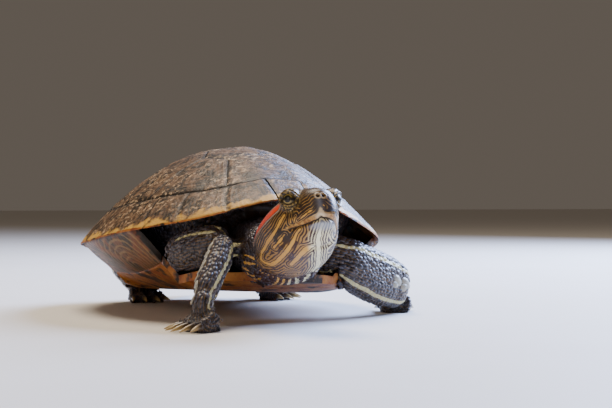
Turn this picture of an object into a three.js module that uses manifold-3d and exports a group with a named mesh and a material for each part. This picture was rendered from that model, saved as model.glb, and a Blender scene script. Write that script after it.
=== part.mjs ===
// Red-eared slider turtle, adult, standing with its head raised and one front leg swept back.
// Millimetres, +Z up, the floor at z = 0. The turtle faces -Y and its left side is +X.
import * as THREE from 'three';
import { mergeVertices } from 'three/addons/utils/BufferGeometryUtils.js';
import Module from 'manifold-3d';

const wasm = await Module();
wasm.setup();

// Driving dimensions of the shell, in its own level frame with z = 0 under the plastron.
const SHELL_LENGTH = 164;
const SHELL_WIDTH = 124.5;
const DOME_HEIGHT = 64;
const RIM_HEIGHT_FLANK = 20.5;
const RIM_RISE_FRONT = 7.5;
const RIM_ARCH_NECK = 9;
const RIM_DROP_REAR = 2.5;
const SHELL_THICKNESS = 3;
const PLASTRON_LENGTH = 150;
const PLASTRON_THICKNESS = 3.6;
const BRIDGE_FRONT = -40;
const BRIDGE_REAR = 36;
const SHELL_PITCH = THREE.MathUtils.degToRad(3);
const SHELL_ROLL = THREE.MathUtils.degToRad(3);
const SHELL_PLACE = new THREE.Vector3(2, -0.5, 8.3);
const SCUTE_RING = 0.81;
const GAP = 0.3;
const ROOM = 0.4;

// Driving dimensions of the head and eyes.
const EYE_MIDDLE = new THREE.Vector3(-2.9, -113.6, 47.9);
const HEAD_PITCH = THREE.MathUtils.degToRad(25);
const HEAD_YAW = THREE.MathUtils.degToRad(3);
const EYE_RADIUS = 4;
const EYE_SPACING = 16.6;

// Shares of the full turn and of the height at which the shell is sampled.
const SHELL_SIDES = 32;
// How far a surface may move when small facets are merged.
const FACET_SLACK = 0.12;
const SHELL_STEPS = [1, 0.91, 0.76, 0.54, 0.26];
const UNDER_STEPS = [0.45, 0.8, 0.975];

const group = new THREE.Group();

const FINISHES = {
  carapace: { color: 0x5b4a3a, roughness: 0.45, metalness: 0 },
  underside: { color: 0xb8752e, roughness: 0.5, metalness: 0 },
  skin: { color: 0x2e2a20, roughness: 0.6, metalness: 0 },
  claw: { color: 0x9a8a68, roughness: 0.4, metalness: 0 },
  eye: { color: 0x7a7a2a, roughness: 0.1, metalness: 0 },
};

function vec(x, y, z) {
  return new THREE.Vector3(x, y, z);
}

// Smooth step from 0 at a to 1 at b.
function ease(a, b, x) {
  return THREE.MathUtils.smoothstep(x, Math.min(a, b), Math.max(a, b)) * (a < b ? 1 : -1) + (a < b ? 0 : 1);
}

// A closed body through rings of equal count, closed at both ends by a fan to the ring's middle.
function loft(rings) {
  const count = rings[0].length;
  const points = [];
  const faces = [];
  rings.forEach((ring) => ring.forEach((p) => points.push(p.x, p.y, p.z)));
  for (let r = 0; r + 1 < rings.length; r += 1) {
    for (let i = 0; i < count; i += 1) {
      const j = (i + 1) % count;
      const a = r * count + i;
      const b = r * count + j;
      const c = a + count;
      const d = b + count;
      faces.push(a, b, d, a, d, c);
    }
  }
  [0, rings.length - 1].forEach((r) => {
    const middle = vec(0, 0, 0);
    rings[r].forEach((p) => middle.addScaledVector(p, 1 / count));
    const hub = points.length / 3;
    points.push(middle.x, middle.y, middle.z);
    for (let i = 0; i < count; i += 1) {
      const a = r * count + i;
      const b = r * count + ((i + 1) % count);
      if (r === 0) {
        faces.push(hub, b, a);
      } else {
        faces.push(hub, a, b);
      }
    }
  });
  const geometry = new THREE.BufferGeometry();
  geometry.setAttribute('position', new THREE.Float32BufferAttribute(points, 3));
  geometry.setIndex(faces);
  return solid(geometry);
}

// The exact solid of a closed geometry, turned right side out if its faces point in.
function solid(geometry) {
  geometry.deleteAttribute('normal');
  geometry.deleteAttribute('uv');
  const merged = mergeVertices(geometry, 1e-5);
  const positions = new Float32Array(merged.attributes.position.array);
  const index = Uint32Array.from(merged.index.array);
  let volume = 0;
  for (let i = 0; i < index.length; i += 3) {
    const [a, b, c] = [0, 1, 2].map((k) => vec(0, 0, 0).fromArray(positions, 3 * index[i + k]));
    volume += a.dot(b.cross(c));
  }
  if (volume < 0) {
    for (let i = 0; i < index.length; i += 3) {
      [index[i], index[i + 1]] = [index[i + 1], index[i]];
    }
  }
  return new wasm.Manifold(new wasm.Mesh({ numProp: 3, vertProperties: positions, triVerts: index }));
}

// A body with a clearance all round it: every corner moved out along its mean face direction.
function room(body) {
  const mesh = body.getMesh();
  const positions = new Float32Array(mesh.vertProperties);
  const normals = Array.from({ length: positions.length / 3 }, () => vec(0, 0, 0));
  const index = mesh.triVerts;
  for (let i = 0; i < index.length; i += 3) {
    const [a, b, c] = [0, 1, 2].map((k) => vec(0, 0, 0).fromArray(positions, 3 * index[i + k]));
    const face = b.sub(a).cross(c.sub(a)).normalize();
    [0, 1, 2].forEach((k) => normals[index[i + k]].add(face));
  }
  normals.forEach((n, v) => {
    const moved = vec(0, 0, 0).fromArray(positions, 3 * v).addScaledVector(n.normalize(), ROOM);
    moved.toArray(positions, 3 * v);
  });
  return new wasm.Manifold(new wasm.Mesh({ numProp: 3, vertProperties: positions, triVerts: index }));
}

// The triangles of the largest closed piece of a body, without the crumbs that a cut leaves.
function largestPiece(body) {
  const mesh = body.getMesh();
  const positions = mesh.vertProperties;
  const index = mesh.triVerts;
  const parent = Array.from({ length: positions.length / 3 }, (_, i) => i);
  const find = (i) => {
    let root = i;
    while (parent[root] !== root) {
      root = parent[root];
    }
    parent[i] = root;
    return root;
  };
  for (let i = 0; i < index.length; i += 3) {
    parent[find(index[i])] = find(index[i + 1]);
    parent[find(index[i + 1])] = find(index[i + 2]);
  }
  const volumes = new Map();
  for (let i = 0; i < index.length; i += 3) {
    const [a, b, c] = [0, 1, 2].map((k) => vec(0, 0, 0).fromArray(positions, 3 * index[i + k]));
    const key = find(index[i]);
    volumes.set(key, (volumes.get(key) || 0) + a.dot(b.cross(c)));
  }
  const [best] = [...volumes.entries()].sort((a, b) => b[1] - a[1])[0];
  const kept = [];
  for (let i = 0; i < index.length; i += 3) {
    if (find(index[i]) === best) {
      kept.push(index[i], index[i + 1], index[i + 2]);
    }
  }
  const geometry = new THREE.BufferGeometry();
  geometry.setAttribute('position', new THREE.BufferAttribute(new Float32Array(positions), 3));
  geometry.setIndex(kept);
  return mergeVertices(geometry.toNonIndexed(), 1e-6);
}

function addNode(name, body, finish) {
  const geometry = largestPiece(body.simplify(FACET_SLACK));
  geometry.computeVertexNormals();
  const node = new THREE.Mesh(geometry, new THREE.MeshStandardMaterial(FINISHES[finish]));
  node.name = name;
  group.add(node);
}

// A block between two corners.
function block(low, high) {
  const size = high.clone().sub(low);
  const geometry = new THREE.BoxGeometry(size.x, size.y, size.z);
  geometry.translate((low.x + high.x) / 2, (low.y + high.y) / 2, (low.z + high.z) / 2);
  return solid(geometry);
}

// A large block that fills the side of a plane its normal points to, set back by a distance.
function beyond(point, normal, back) {
  const geometry = new THREE.BoxGeometry(400, 400, 400);
  geometry.translate(0, 0, 200 + back);
  const turn = new THREE.Quaternion().setFromUnitVectors(vec(0, 0, 1), normal.clone().normalize());
  geometry.applyQuaternion(turn);
  geometry.translate(point.x, point.y, point.z);
  return solid(geometry);
}

// Splits a body at a plane with a thin cut, the first piece on the side the normal points to.
function part(body, point, normal) {
  const ahead = beyond(point, normal, GAP / 2);
  const behind = beyond(point, normal.clone().negate(), GAP / 2);
  return [body.intersect(ahead), body.intersect(behind)];
}

// Carries a point of the level shell frame to its place in the standing turtle.
function tilt(p) {
  p.applyAxisAngle(vec(0, 1, 0), SHELL_ROLL);
  p.applyAxisAngle(vec(1, 0, 0), -SHELL_PITCH);
  return p.add(SHELL_PLACE);
}

// Outline of the carapace at a turn t from the front, round by the left side; rear plates stand out.
function rimPoint(t) {
  const c = Math.cos(t);
  const s = Math.sin(t);
  const teeth = 1 + 0.012 * ease(-0.15, -0.6, c) * (Math.abs(Math.sin(t * 12)) - 0.5);
  const x = (SHELL_WIDTH / 2) * Math.sign(s) * Math.abs(s) ** 0.9 * (1 - 0.05 * c) * teeth;
  const y = (-SHELL_LENGTH / 2) * c * teeth * (c > 0 ? 1 - 0.03 * Math.exp(-((s / 0.12) ** 2)) : 1);
  const front = Math.max(0, c);
  const rear = Math.max(0, -c);
  const arch = c > 0 ? RIM_ARCH_NECK * Math.exp(-((s / 0.45) ** 2)) : 0;
  const z = RIM_HEIGHT_FLANK + RIM_RISE_FRONT * front + arch - RIM_DROP_REAR * rear ** 2;
  return vec(x, y, z);
}

// Height of the dome over the rim at a share of the way out from the top.
function domeHeight(t, share) {
  const rim = rimPoint(t);
  const rise = DOME_HEIGHT - rim.z;
  return rim.z + rise * (1 - share ** 1.84) ** 0.98;
}

function domePoint(t, share) {
  const rim = rimPoint(t);
  return vec(rim.x * share, rim.y * share, domeHeight(t, share));
}

function turns(count) {
  return Array.from({ length: count }, (_, i) => (2 * Math.PI * i) / count);
}

// The carapace as one hollow dome with a thinner rim.
function carapaceBody() {
  const rings = [];
  UNDER_STEPS.forEach((share) => {
    const drop = SHELL_THICKNESS - 1.6 * ease(0.9, 1, share);
    rings.push(turns(SHELL_SIDES).map((t) => tilt(domePoint(t, share).add(vec(0, 0, -drop)))));
  });
  SHELL_STEPS.forEach((share) => {
    rings.push(turns(SHELL_SIDES).map((t) => tilt(domePoint(t, share))));
  });
  return loft(rings);
}

// How far a place along the shell lies in the bridges, from 0 in the lobes to 1.
function bridgeShare(y) {
  return ease(BRIDGE_FRONT - 4, BRIDGE_FRONT + 4, y) * ease(BRIDGE_REAR + 5, BRIDGE_REAR - 4, y);
}

// The point of the carapace's outline at a place along the shell.
function rimAt(y) {
  return rimPoint(Math.acos(THREE.MathUtils.clamp((-2 * y) / SHELL_LENGTH, -1, 1)));
}

// Half width of the plastron and its bridges at a place along the shell.
function plastronHalf(y) {
  const front = -PLASTRON_LENGTH / 2 + 1;
  const rear = PLASTRON_LENGTH / 2 + 1;
  const lobe = y < 0 ? 35 : 36;
  const end = y < 0 ? (y - front) / 34 : (rear - y) / 44;
  const round = Math.sqrt(Math.max(0, 1 - (1 - Math.min(1, end)) ** 2.2));
  return THREE.MathUtils.lerp(lobe * round, rimAt(y).x * 0.965, bridgeShare(y));
}

// Height of the plastron's underside: flat in the middle, rising to the bridges and at the front.
function plastronLow(x, y) {
  const half = plastronHalf(y);
  const wide = THREE.MathUtils.clamp((Math.abs(x) - 22) / Math.max(1, half - 22), 0, 1);
  const bridge = bridgeShare(y) * (rimAt(y).z - 1.5) * (0.55 * wide + 0.45 * wide ** 3);
  const lobe = (1 - bridgeShare(y)) * 2 * wide ** 2;
  return bridge + lobe + 4 * ease(-40, -75, y) + 1.2 * ease(50, 75, y);
}

// The plastron with both bridges as one curved tray.
function trayBody() {
  const places = [-74, -72, -66, -56, -45, -41, -36, -15, 10, 30, 36, 42, 54, 66, 73, 76];
  const shares = [-1, -0.85, -0.65, -0.4, 0.4, 0.65, 0.85, 1];
  const rings = places.map((y) => {
    const half = Math.max(plastronHalf(y), 3);
    const low = shares.map((k) => vec(half * k, y, plastronLow(half * k, y)));
    const high = low.map((p) => p.clone().add(vec(0, 0, PLASTRON_THICKNESS))).reverse();
    return low.concat(high).map(tilt);
  });
  return loft(rings);
}

// Flesh that fills the shell, drawn in under the rim to leave the pockets of legs, neck and tail.
function trunkBody() {
  const steps = [0, 0.5, 1];
  const rings = [];
  const reach = (t) => 0.72 + 0.13 * Math.abs(Math.sin(t)) ** 1.5;
  steps.forEach((k) => {
    rings.push(turns(18).map((t) => {
      const rim = rimPoint(t);
      const share = reach(t) * (0.6 + 0.4 * Math.sin((Math.PI / 2) * k));
      const y = rim.y * share;
      const x = rim.x * share;
      const low = plastronLow(x, y) + 1.8;
      const high = domeHeight(t, reach(t)) - 1.5;
      return tilt(vec(x, y, THREE.MathUtils.lerp(low, high, k * 0.85 + 0.15 * k * k)));
    }));
  });
  [0.75, 0.4].forEach((k) => {
    rings.push(turns(18).map((t) => {
      const share = reach(t) * k;
      const rim = rimPoint(t);
      return tilt(vec(rim.x * share, rim.y * share, domeHeight(t, share) - 1.5));
    }));
  });
  return loft(rings);
}

// A body along a smooth path, its flattened rings turned so that the wide axis follows a direction.
function limb(stations, sides, steps) {
  const path = new THREE.CatmullRomCurve3(stations.map((s) => s.at), false, 'centripetal');
  const lastStation = stations.length - 1;
  const pick = (key, u) => {
    const k = Math.min(Math.floor(u * lastStation), lastStation - 1);
    const f = u * lastStation - k;
    const g = f * f * (3 - 2 * f);
    if (typeof stations[k][key] === 'number') {
      return THREE.MathUtils.lerp(stations[k][key], stations[k + 1][key], g);
    }
    return stations[k][key].clone().lerp(stations[k + 1][key], g).normalize();
  };
  const rings = [];
  for (let n = 0; n <= steps; n += 1) {
    const u = n / steps;
    const middle = path.getPoint(u);
    const along = path.getTangent(u);
    const wide = pick('wide', u);
    wide.addScaledVector(along, -wide.dot(along)).normalize();
    const thin = along.clone().cross(wide);
    const a = pick('halfWide', u);
    const b = pick('halfThin', u);
    rings.push(turns(sides).map((t) => {
      const cw = Math.cos(t);
      const sw = Math.sin(t);
      const p = middle.clone().addScaledVector(wide, a * Math.sign(cw) * Math.abs(cw) ** 0.85);
      return p.addScaledVector(thin, b * Math.sign(sw) * Math.abs(sw) ** 0.85);
    }));
  }
  return loft(rings);
}

function station(x, y, z, halfWide, halfThin, wide) {
  return { at: vec(x, y, z), halfWide, halfThin, wide };
}

// A claw: a slim cone that bends down toward its tip.
function claw(root, direction, length, radius) {
  const rings = [];
  const side = direction.clone().cross(vec(0, 0, 1)).normalize();
  const up = side.clone().cross(direction).normalize();
  [0, 0.55, 1].forEach((u) => {
    const middle = root.clone().addScaledVector(direction, length * u);
    middle.addScaledVector(up, -length * 0.16 * u * u);
    const r = radius * (1 - u) ** 0.75 + 0.22;
    rings.push(turns(5).map((t) => {
      return middle.clone().addScaledVector(side, 0.8 * r * Math.cos(t)).addScaledVector(up, r * Math.sin(t));
    }));
  });
  return loft(rings);
}

// Toes fanned from a palm and joined as one paddle, with a claw in the end of each.
function paw(palm, heading, span, toeCount, reach, clawLength) {
  const along = vec(Math.cos(heading), Math.sin(heading), 0);
  const side = vec(-Math.sin(heading), Math.cos(heading), 0);
  let paddle = null;
  const claws = [];
  for (let i = 0; i < toeCount; i += 1) {
    const k = (2 * i) / (toeCount - 1) - 1;
    const fan = heading + 0.34 * k;
    const out = vec(Math.cos(fan), Math.sin(fan), 0);
    const start = palm.clone().addScaledVector(side, span * 0.3 * k).addScaledVector(along, -3);
    const tip = palm.clone().addScaledVector(side, span * 0.34 * k);
    tip.addScaledVector(out, reach * (1 - 0.14 * k * k));
    tip.z = 2.1;
    const toe = limb([
      { at: start, halfWide: span * 0.24, halfThin: palm.z * 1.13 + 0.6, wide: side },
      { at: start.clone().lerp(tip, 0.6), halfWide: span * 0.16, halfThin: 4, wide: side },
      { at: tip, halfWide: 1.7, halfThin: 2.7, wide: side },
    ], 5, 2);
    paddle = paddle ? paddle.add(toe) : toe;
    const dip = vec(out.x, out.y, -0.06).normalize();
    const root = tip.clone().addScaledVector(dip, -1).add(vec(0, 0, 0.3));
    const length = (clawLength + 1) * (1 - 0.12 * k * k);
    const seat = root.clone().addScaledVector(dip, -ROOM);
    claws.push({ nail: claw(root, dip, length, 1.3), socket: claw(seat, dip, length, 1.3 + ROOM) });
  }
  return { paddle, claws };
}

// ---- shell ----

const floorSide = beyond(vec(0, 0, 0), vec(0, 0, 1), 0);
const carapace = carapaceBody();
const carapaceRoom = room(carapace);
const tray = trayBody().subtract(carapaceRoom);
const trayRoom = room(tray);

// A vertical prism over a plan outline of [x, y] corners of the level shell.
function prism(corners, grow) {
  const outline = corners.map(([x, y]) => new THREE.Vector2(x, y));
  const shape = new THREE.Shape(offsetOutline(outline, grow));
  const geometry = new THREE.ExtrudeGeometry(shape, { depth: 120, bevelEnabled: false, steps: 1 });
  geometry.rotateY(SHELL_ROLL);
  geometry.rotateX(-SHELL_PITCH);
  geometry.translate(SHELL_PLACE.x, SHELL_PLACE.y, 0);
  return solid(geometry);
}

// Moves every edge of a closed plan outline outward by a distance, or inward if it is negative.
function offsetOutline(outline, distance) {
  const sign = THREE.ShapeUtils.area(outline) > 0 ? 1 : -1;
  return outline.map((p, i) => {
    const before = outline[(i + outline.length - 1) % outline.length];
    const after = outline[(i + 1) % outline.length];
    const u = p.clone().sub(before).normalize();
    const v = after.clone().sub(p).normalize();
    const n = new THREE.Vector2(u.y + v.y, -u.x - v.x).normalize();
    const lean = Math.max(0.5, n.dot(new THREE.Vector2(u.y, -u.x)));
    return p.clone().addScaledVector(n, (sign * distance) / lean);
  });
}

// Point of the inner edge of the marginal plates at a turn t.
function ringPoint(t) {
  const rim = rimPoint(t);
  return [rim.x * SCUTE_RING, rim.y * SCUTE_RING];
}

function arc(from, to, count) {
  return Array.from({ length: count + 1 }, (_, i) => ringPoint(from + ((to - from) * i) / count));
}

// Turns at which the seams between costal plates meet the marginal plates.
const COSTAL_TURNS = [0.42, 1.12, 1.62, 2.12, 2.66];
// Places along the middle line of the seams between vertebral plates.
const VERTEBRAL_PLACES = [-62, -38, -11, 16, 43, 66];
const VERTEBRAL_SEAM_HALF = [15, 14, 14.5, 14, 12, 12];
const VERTEBRAL_MIDDLE_HALF = [18, 20, 20, 18.5, 15];

function vertebralCorners(i) {
  const y0 = VERTEBRAL_PLACES[i];
  const y1 = VERTEBRAL_PLACES[i + 1];
  const a = VERTEBRAL_SEAM_HALF[i];
  const b = VERTEBRAL_SEAM_HALF[i + 1];
  const m = VERTEBRAL_MIDDLE_HALF[i];
  const ym = (y0 + y1) / 2;
  if (i === 0) {
    return arc(-COSTAL_TURNS[0], COSTAL_TURNS[0], 6).concat([[b, y1], [-b, y1]]);
  }
  if (i === 4) {
    const rear = COSTAL_TURNS[4];
    return [[-a, y0], [a, y0]].concat(arc(rear, 2 * Math.PI - rear, 8));
  }
  return [[-a, y0], [a, y0], [m, ym], [b, y1], [-b, y1], [-m, ym]];
}

function costalCorners(i, side) {
  const seam = (k) => [VERTEBRAL_SEAM_HALF[k], VERTEBRAL_PLACES[k]];
  const middle = (k) => [VERTEBRAL_MIDDLE_HALF[k], (VERTEBRAL_PLACES[k] + VERTEBRAL_PLACES[k + 1]) / 2];
  const outer = arc(COSTAL_TURNS[i], COSTAL_TURNS[i + 1], 6);
  const inner = [
    [middle(1), seam(1)],
    [middle(2), seam(2), middle(1)],
    [middle(3), seam(3), middle(2)],
    [seam(4), middle(3)],
  ][i];
  return outer.concat(inner).map(([x, y]) => [side * x, y]);
}

const disc = prism(arc(0, 2 * Math.PI * (31 / 32), 31), GAP / 2);
const nuchalCorners = [[-6, -90], [6, -90], [7.5, -60], [-7.5, -60]];
const ringPlates = carapace.subtract(disc);
addNode('nuchal_plate', ringPlates.intersect(prism(nuchalCorners, -GAP / 2)), 'carapace');
const rearCut = block(vec(-GAP / 2, 0, -20), vec(GAP / 2, 120, 120));
const marginals = ringPlates.subtract(prism(nuchalCorners, GAP / 2)).subtract(rearCut);
const leftHalf = block(vec(0, -120, -20), vec(120, 120, 120));
const rightHalf = block(vec(-120, -120, -20), vec(0, 120, 120));
addNode('marginal_plates_left', marginals.intersect(leftHalf), 'carapace');
addNode('marginal_plates_right', marginals.intersect(rightHalf), 'carapace');
const top = carapace.intersect(prism(arc(0, 2 * Math.PI * (31 / 32), 31), -GAP / 2));
for (let i = 0; i < 5; i += 1) {
  addNode(`vertebral_plate_${i + 1}`, top.intersect(prism(vertebralCorners(i), -GAP / 2)), 'carapace');
}
for (let i = 0; i < 4; i += 1) {
  [['left', 1], ['right', -1]].forEach(([name, side]) => {
    const zone = prism(costalCorners(i, side), -GAP / 2);
    addNode(`costal_plate_${name}_${i + 1}`, top.intersect(zone), 'carapace');
  });
}
const bridgeLine = 41;
const plastronZone = block(vec(-bridgeLine, -120, -20), vec(bridgeLine, 120, 90));
addNode('plastron', tray.intersect(plastronZone), 'underside');
[['left', 1], ['right', -1]].forEach(([name, side]) => {
  const near = side * (bridgeLine + GAP);
  const far = side * 90;
  const zone = block(vec(Math.min(near, far), -120, -20), vec(Math.max(near, far), 120, 90));
  addNode(`bridge_${name}`, tray.intersect(zone), 'underside');
});

// ---- trunk ----

const trunk = trunkBody().subtract(carapaceRoom).subtract(trayRoom);
const trunkRoom = room(trunkBody());
addNode('trunk', trunk, 'skin');

// ---- head, jaw, eyes and neck ----

const headTurn = new THREE.Matrix4().makeRotationZ(HEAD_YAW)
  .multiply(new THREE.Matrix4().makeRotationX(-HEAD_PITCH));

// Carries a point of the level head frame, measured from between the eyes and facing -Y, to its place.
function headPoint(x, y, z) {
  return vec(x, y, z).applyMatrix4(headTurn).add(EYE_MIDDLE);
}

// Stations back from between the eyes: place, half width, top, bottom, squareness.
const HEAD_STATIONS = [
  [-10.4, 2.4, -1.2, -9.5, 0.95],
  [-9.8, 4, 0.2, -12.2, 0.9],
  [-8.2, 5.9, 1.6, -13.4, 0.85],
  [-5, 8, 3.2, -14.5, 0.82],
  [-1, 9.6, 4.6, -15.6, 0.82],
  [3, 11.2, 5.3, -16.6, 0.82],
  [8, 13.3, 5.5, -17.8, 0.85],
  [14, 15.2, 5, -18.6, 0.88],
  [20, 15.9, 4, -19.6, 0.9],
  [25, 15.2, 2.6, -19.8, 0.92],
  [30, 14.4, 0.8, -19.4, 0.95],
];

function headRing([y, half, high, low, square], grow) {
  const middle = high - (high - low) * 0.47;
  return turns(16).map((t) => {
    const c = Math.cos(t);
    const s = Math.sin(t);
    const x = (half + grow) * Math.sign(c) * Math.abs(c) ** square;
    const reach = (s > 0 ? high - middle : middle - low) + grow;
    return headPoint(x, y, middle + reach * Math.sign(s) * Math.abs(s) ** square);
  });
}

function ball(x, y, z, radius, stretch) {
  const geometry = new THREE.SphereGeometry(radius, 8, 6);
  geometry.scale(stretch.x, stretch.y, stretch.z);
  geometry.translate(x, y, z);
  geometry.applyMatrix4(headTurn);
  geometry.translate(EYE_MIDDLE.x, EYE_MIDDLE.y, EYE_MIDDLE.z);
  return solid(geometry);
}

let skull = loft(HEAD_STATIONS.map((s) => headRing(s, 0)));
[1, -1].forEach((side) => {
  skull = skull.add(ball(side * (EYE_SPACING / 2 - 0.4), 0, 0.1, 4.8, vec(0.82, 1, 1)));
});
[['left', 1], ['right', -1]].forEach(([name, side]) => {
  const x = side * (EYE_SPACING / 2 - 0.4);
  skull = skull.subtract(ball(x, 0, 0, EYE_RADIUS + GAP, vec(0.9, 1, 0.94)));
  skull = skull.subtract(ball(x + side * 3.4, -0.6, 0.2, 3.4, vec(1, 1, 0.88)));
  addNode(`eye_${name}`, ball(x, 0, 0, EYE_RADIUS, vec(0.9, 1, 0.94)), 'eye');
});

// Side outline of the lower jaw in the head frame: place along the head, height.
function jawOutline(grow) {
  const line = [[-14, -11.2], [-9.2, -11], [-5, -10.6], [0, -10.3], [3.5, -10.4]];
  const upper = line.map(([y, z]) => new THREE.Vector2(y, z + grow));
  const corner = [new THREE.Vector2(3.6 + grow, -10.4 + grow)];
  const lower = [new THREE.Vector2(9 + grow, -30), new THREE.Vector2(-14, -30)];
  return upper.concat(corner, lower);
}

function jawPrism(grow) {
  const geometry = new THREE.ExtrudeGeometry(new THREE.Shape(jawOutline(grow)), {
    depth: 60,
    bevelEnabled: false,
    steps: 1,
  });
  geometry.translate(0, 0, -30);
  geometry.applyMatrix4(new THREE.Matrix4().makeBasis(vec(0, 1, 0), vec(0, 0, 1), vec(1, 0, 0)));
  geometry.applyMatrix4(headTurn);
  geometry.translate(EYE_MIDDLE.x, EYE_MIDDLE.y, EYE_MIDDLE.z);
  return solid(geometry);
}

addNode('lower_jaw', skull.intersect(jawPrism(-GAP / 2)), 'skin');
addNode('head', skull.subtract(jawPrism(GAP / 2)), 'skin');

const nape = headPoint(0, 30, -9.3);
const backward = headPoint(0, 31, -9.3).sub(nape).normalize();
const neckStart = nape.clone().addScaledVector(backward, GAP);
const across = vec(1, 0, 0);
const neck = limb([
  { at: neckStart, halfWide: 14.4, halfThin: 10.2, wide: across },
  { at: vec(-2.5, -81.5, 28), halfWide: 17.5, halfThin: 13.8, wide: across },
  { at: vec(0, -70, 28.5), halfWide: 17, halfThin: 13.2, wide: across },
  { at: vec(1, -52, 30), halfWide: 17, halfThin: 12.5, wide: across },
], 14, 5);
const neckFront = beyond(neckStart, backward, 0);
const neckBody = neck.intersect(neckFront).subtract(trunkRoom).subtract(carapaceRoom).subtract(trayRoom);
const neckRoom = room(neck);
addNode('neck', neckBody, 'skin');

// ---- tail ----

const tail = limb([
  station(0, 48, 22, 8, 7, across),
  station(0, 64, 18, 6.5, 6, across),
  station(2, 76, 12.5, 4.8, 4.6, across),
  station(7, 87, 8, 3.2, 3.1, across),
  station(13, 96, 5.5, 1.8, 1.8, across),
  station(18, 102, 4.6, 0.7, 0.7, across),
], 7, 7);
const tailRoom = room(tail);
addNode('tail', tail.subtract(trunkRoom).subtract(carapaceRoom).subtract(trayRoom), 'skin');

// ---- legs ----

// A leg with its foot cut from it at the ankle, and its claws set in the toes.
function addLeg(name, stations, ankle, toward, feet) {
  let leg = limb(stations, 9, 7).add(feet.paddle).intersect(floorSide);
  feet.claws.forEach(({ nail, socket }, i) => {
    addNode(`${name}_claw_${i + 1}`, nail.intersect(clawFloor), 'claw');
    leg = leg.subtract(socket);
  });
  leg = leg.subtract(trunkRoom).subtract(carapaceRoom).subtract(trayRoom);
  leg = leg.subtract(neckRoom).subtract(tailRoom);
  const [lower, upper] = part(leg, ankle, toward);
  addNode(`${name}_foot`, lower, 'skin');
  addNode(`${name}_leg`, upper, 'skin');
}

const clawFloor = beyond(vec(0, 0, 0.1), vec(0, 0, 1), 0);
const level = vec(0.36, 0.93, 0);
addLeg('front_right', [
  station(-30, -44, 27, 10, 8.5, level),
  station(-27, -58, 30, 9.5, 8.5, level),
  station(-22.5, -70, 31, 8.2, 7, level),
  station(-26, -78, 27, 7.8, 5.4, level),
  station(-33, -86, 18, 7.4, 5.6, level),
  station(-37, -92, 11, 6.6, 4.6, level),
  station(-38.5, -95.5, 5, 6, 4.4, level),
], vec(-36.5, -90.8, 12.5), vec(-0.35, -0.45, -0.82), paw(vec(-38, -95.5, 4.4), 3.45, 13, 5, 8, 6.5));

const upright = vec(0, 0, 1);
addLeg('front_left', [
  station(20, -48, 28, 10, 8, upright),
  station(28, -60, 25, 10.5, 7.5, upright),
  station(38, -58, 20.5, 11.2, 7, upright),
  station(48, -53, 16.5, 12, 6.6, upright),
  station(58, -47, 13.3, 11.6, 6.2, upright),
  station(67, -41, 11, 9, 5.2, upright),
], vec(59, -46.2, 13), vec(0.78, 0.52, -0.35), paw(vec(65, -38, 4.6), 1.2, 13, 5, 8, 6.5));

const lengthwise = vec(0.3, 0.95, 0);
addLeg('hind_left', [
  station(20, 44, 24, 11, 9, lengthwise),
  station(38, 40, 23, 10.5, 8.5, lengthwise),
  station(46, 46, 18, 9, 7.6, lengthwise),
  station(44, 56, 12, 7.4, 6.4, lengthwise),
  station(39, 61, 8, 6.4, 6, lengthwise),
  station(40, 59, 4.6, 6, 5, lengthwise),
], vec(41, 60, 9.5), vec(0, 0, -1), paw(vec(42, 56, 4.4), -0.85, 14, 4, 10, 5));

const lengthwiseRight = vec(-0.3, 0.95, 0);
addLeg('hind_right', [
  station(-16, 44, 25, 10, 9, lengthwiseRight),
  station(-27, 46, 24, 9.5, 8, lengthwiseRight),
  station(-30, 54, 19, 8.6, 7, lengthwiseRight),
  station(-26, 62, 13, 7.2, 6.2, lengthwiseRight),
  station(-21, 67, 8, 6.4, 6, lengthwiseRight),
  station(-19.5, 66, 4.6, 6, 5, lengthwiseRight),
], vec(-21, 66, 9.5), vec(0, 0, -1), paw(vec(-19.5, 62, 4.4), -1.5, 14, 4, 10, 5));

// The origin stands on the floor under the middle of the turtle's box.
const box = new THREE.Box3().setFromObject(group);
group.children.forEach((node) => {
  node.geometry.translate(-(box.min.x + box.max.x) / 2, -(box.min.y + box.max.y) / 2, -box.min.z);
});

export default group;
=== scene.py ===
"""A red-eared slider turtle at life size: skin, scales, horny shell, eyes and claws."""

import itertools
import math

import bmesh
import bpy
import numpy as np
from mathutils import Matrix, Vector, kdtree
from mathutils.bvhtree import BVHTree


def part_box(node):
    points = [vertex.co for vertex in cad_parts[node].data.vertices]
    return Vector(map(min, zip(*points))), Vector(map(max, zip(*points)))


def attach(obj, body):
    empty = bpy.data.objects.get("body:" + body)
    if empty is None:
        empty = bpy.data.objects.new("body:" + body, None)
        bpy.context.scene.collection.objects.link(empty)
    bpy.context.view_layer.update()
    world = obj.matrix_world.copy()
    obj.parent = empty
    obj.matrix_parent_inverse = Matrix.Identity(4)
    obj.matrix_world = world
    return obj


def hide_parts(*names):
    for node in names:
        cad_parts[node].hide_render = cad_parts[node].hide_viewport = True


bl_info = {
    "name": "Red-eared slider turtle",
    "version": (1, 0, 0),
    "blender": (4, 5, 0),
    "location": "View3D > Sidebar > Turtle",
    "description": "Builds the skin, scales, shell, eyes and claws of a life-size slider turtle",
    "category": "Object",
}

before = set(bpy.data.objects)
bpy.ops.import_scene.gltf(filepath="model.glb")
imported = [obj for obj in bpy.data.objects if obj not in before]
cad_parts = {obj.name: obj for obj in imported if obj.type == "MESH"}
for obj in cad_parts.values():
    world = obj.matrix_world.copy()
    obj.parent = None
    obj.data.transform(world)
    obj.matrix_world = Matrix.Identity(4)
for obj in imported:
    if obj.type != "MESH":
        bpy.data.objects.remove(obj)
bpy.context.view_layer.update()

MM = 0.001
FLESH_NODES = ["trunk", "neck", "head", "lower_jaw", "tail"]
LEG_NAMES = ["front_right", "front_left", "hind_left", "hind_right"]
FLESH_NODES += [f"{leg}_{part}" for leg in LEG_NAMES for part in ("leg", "foot")]

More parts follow.
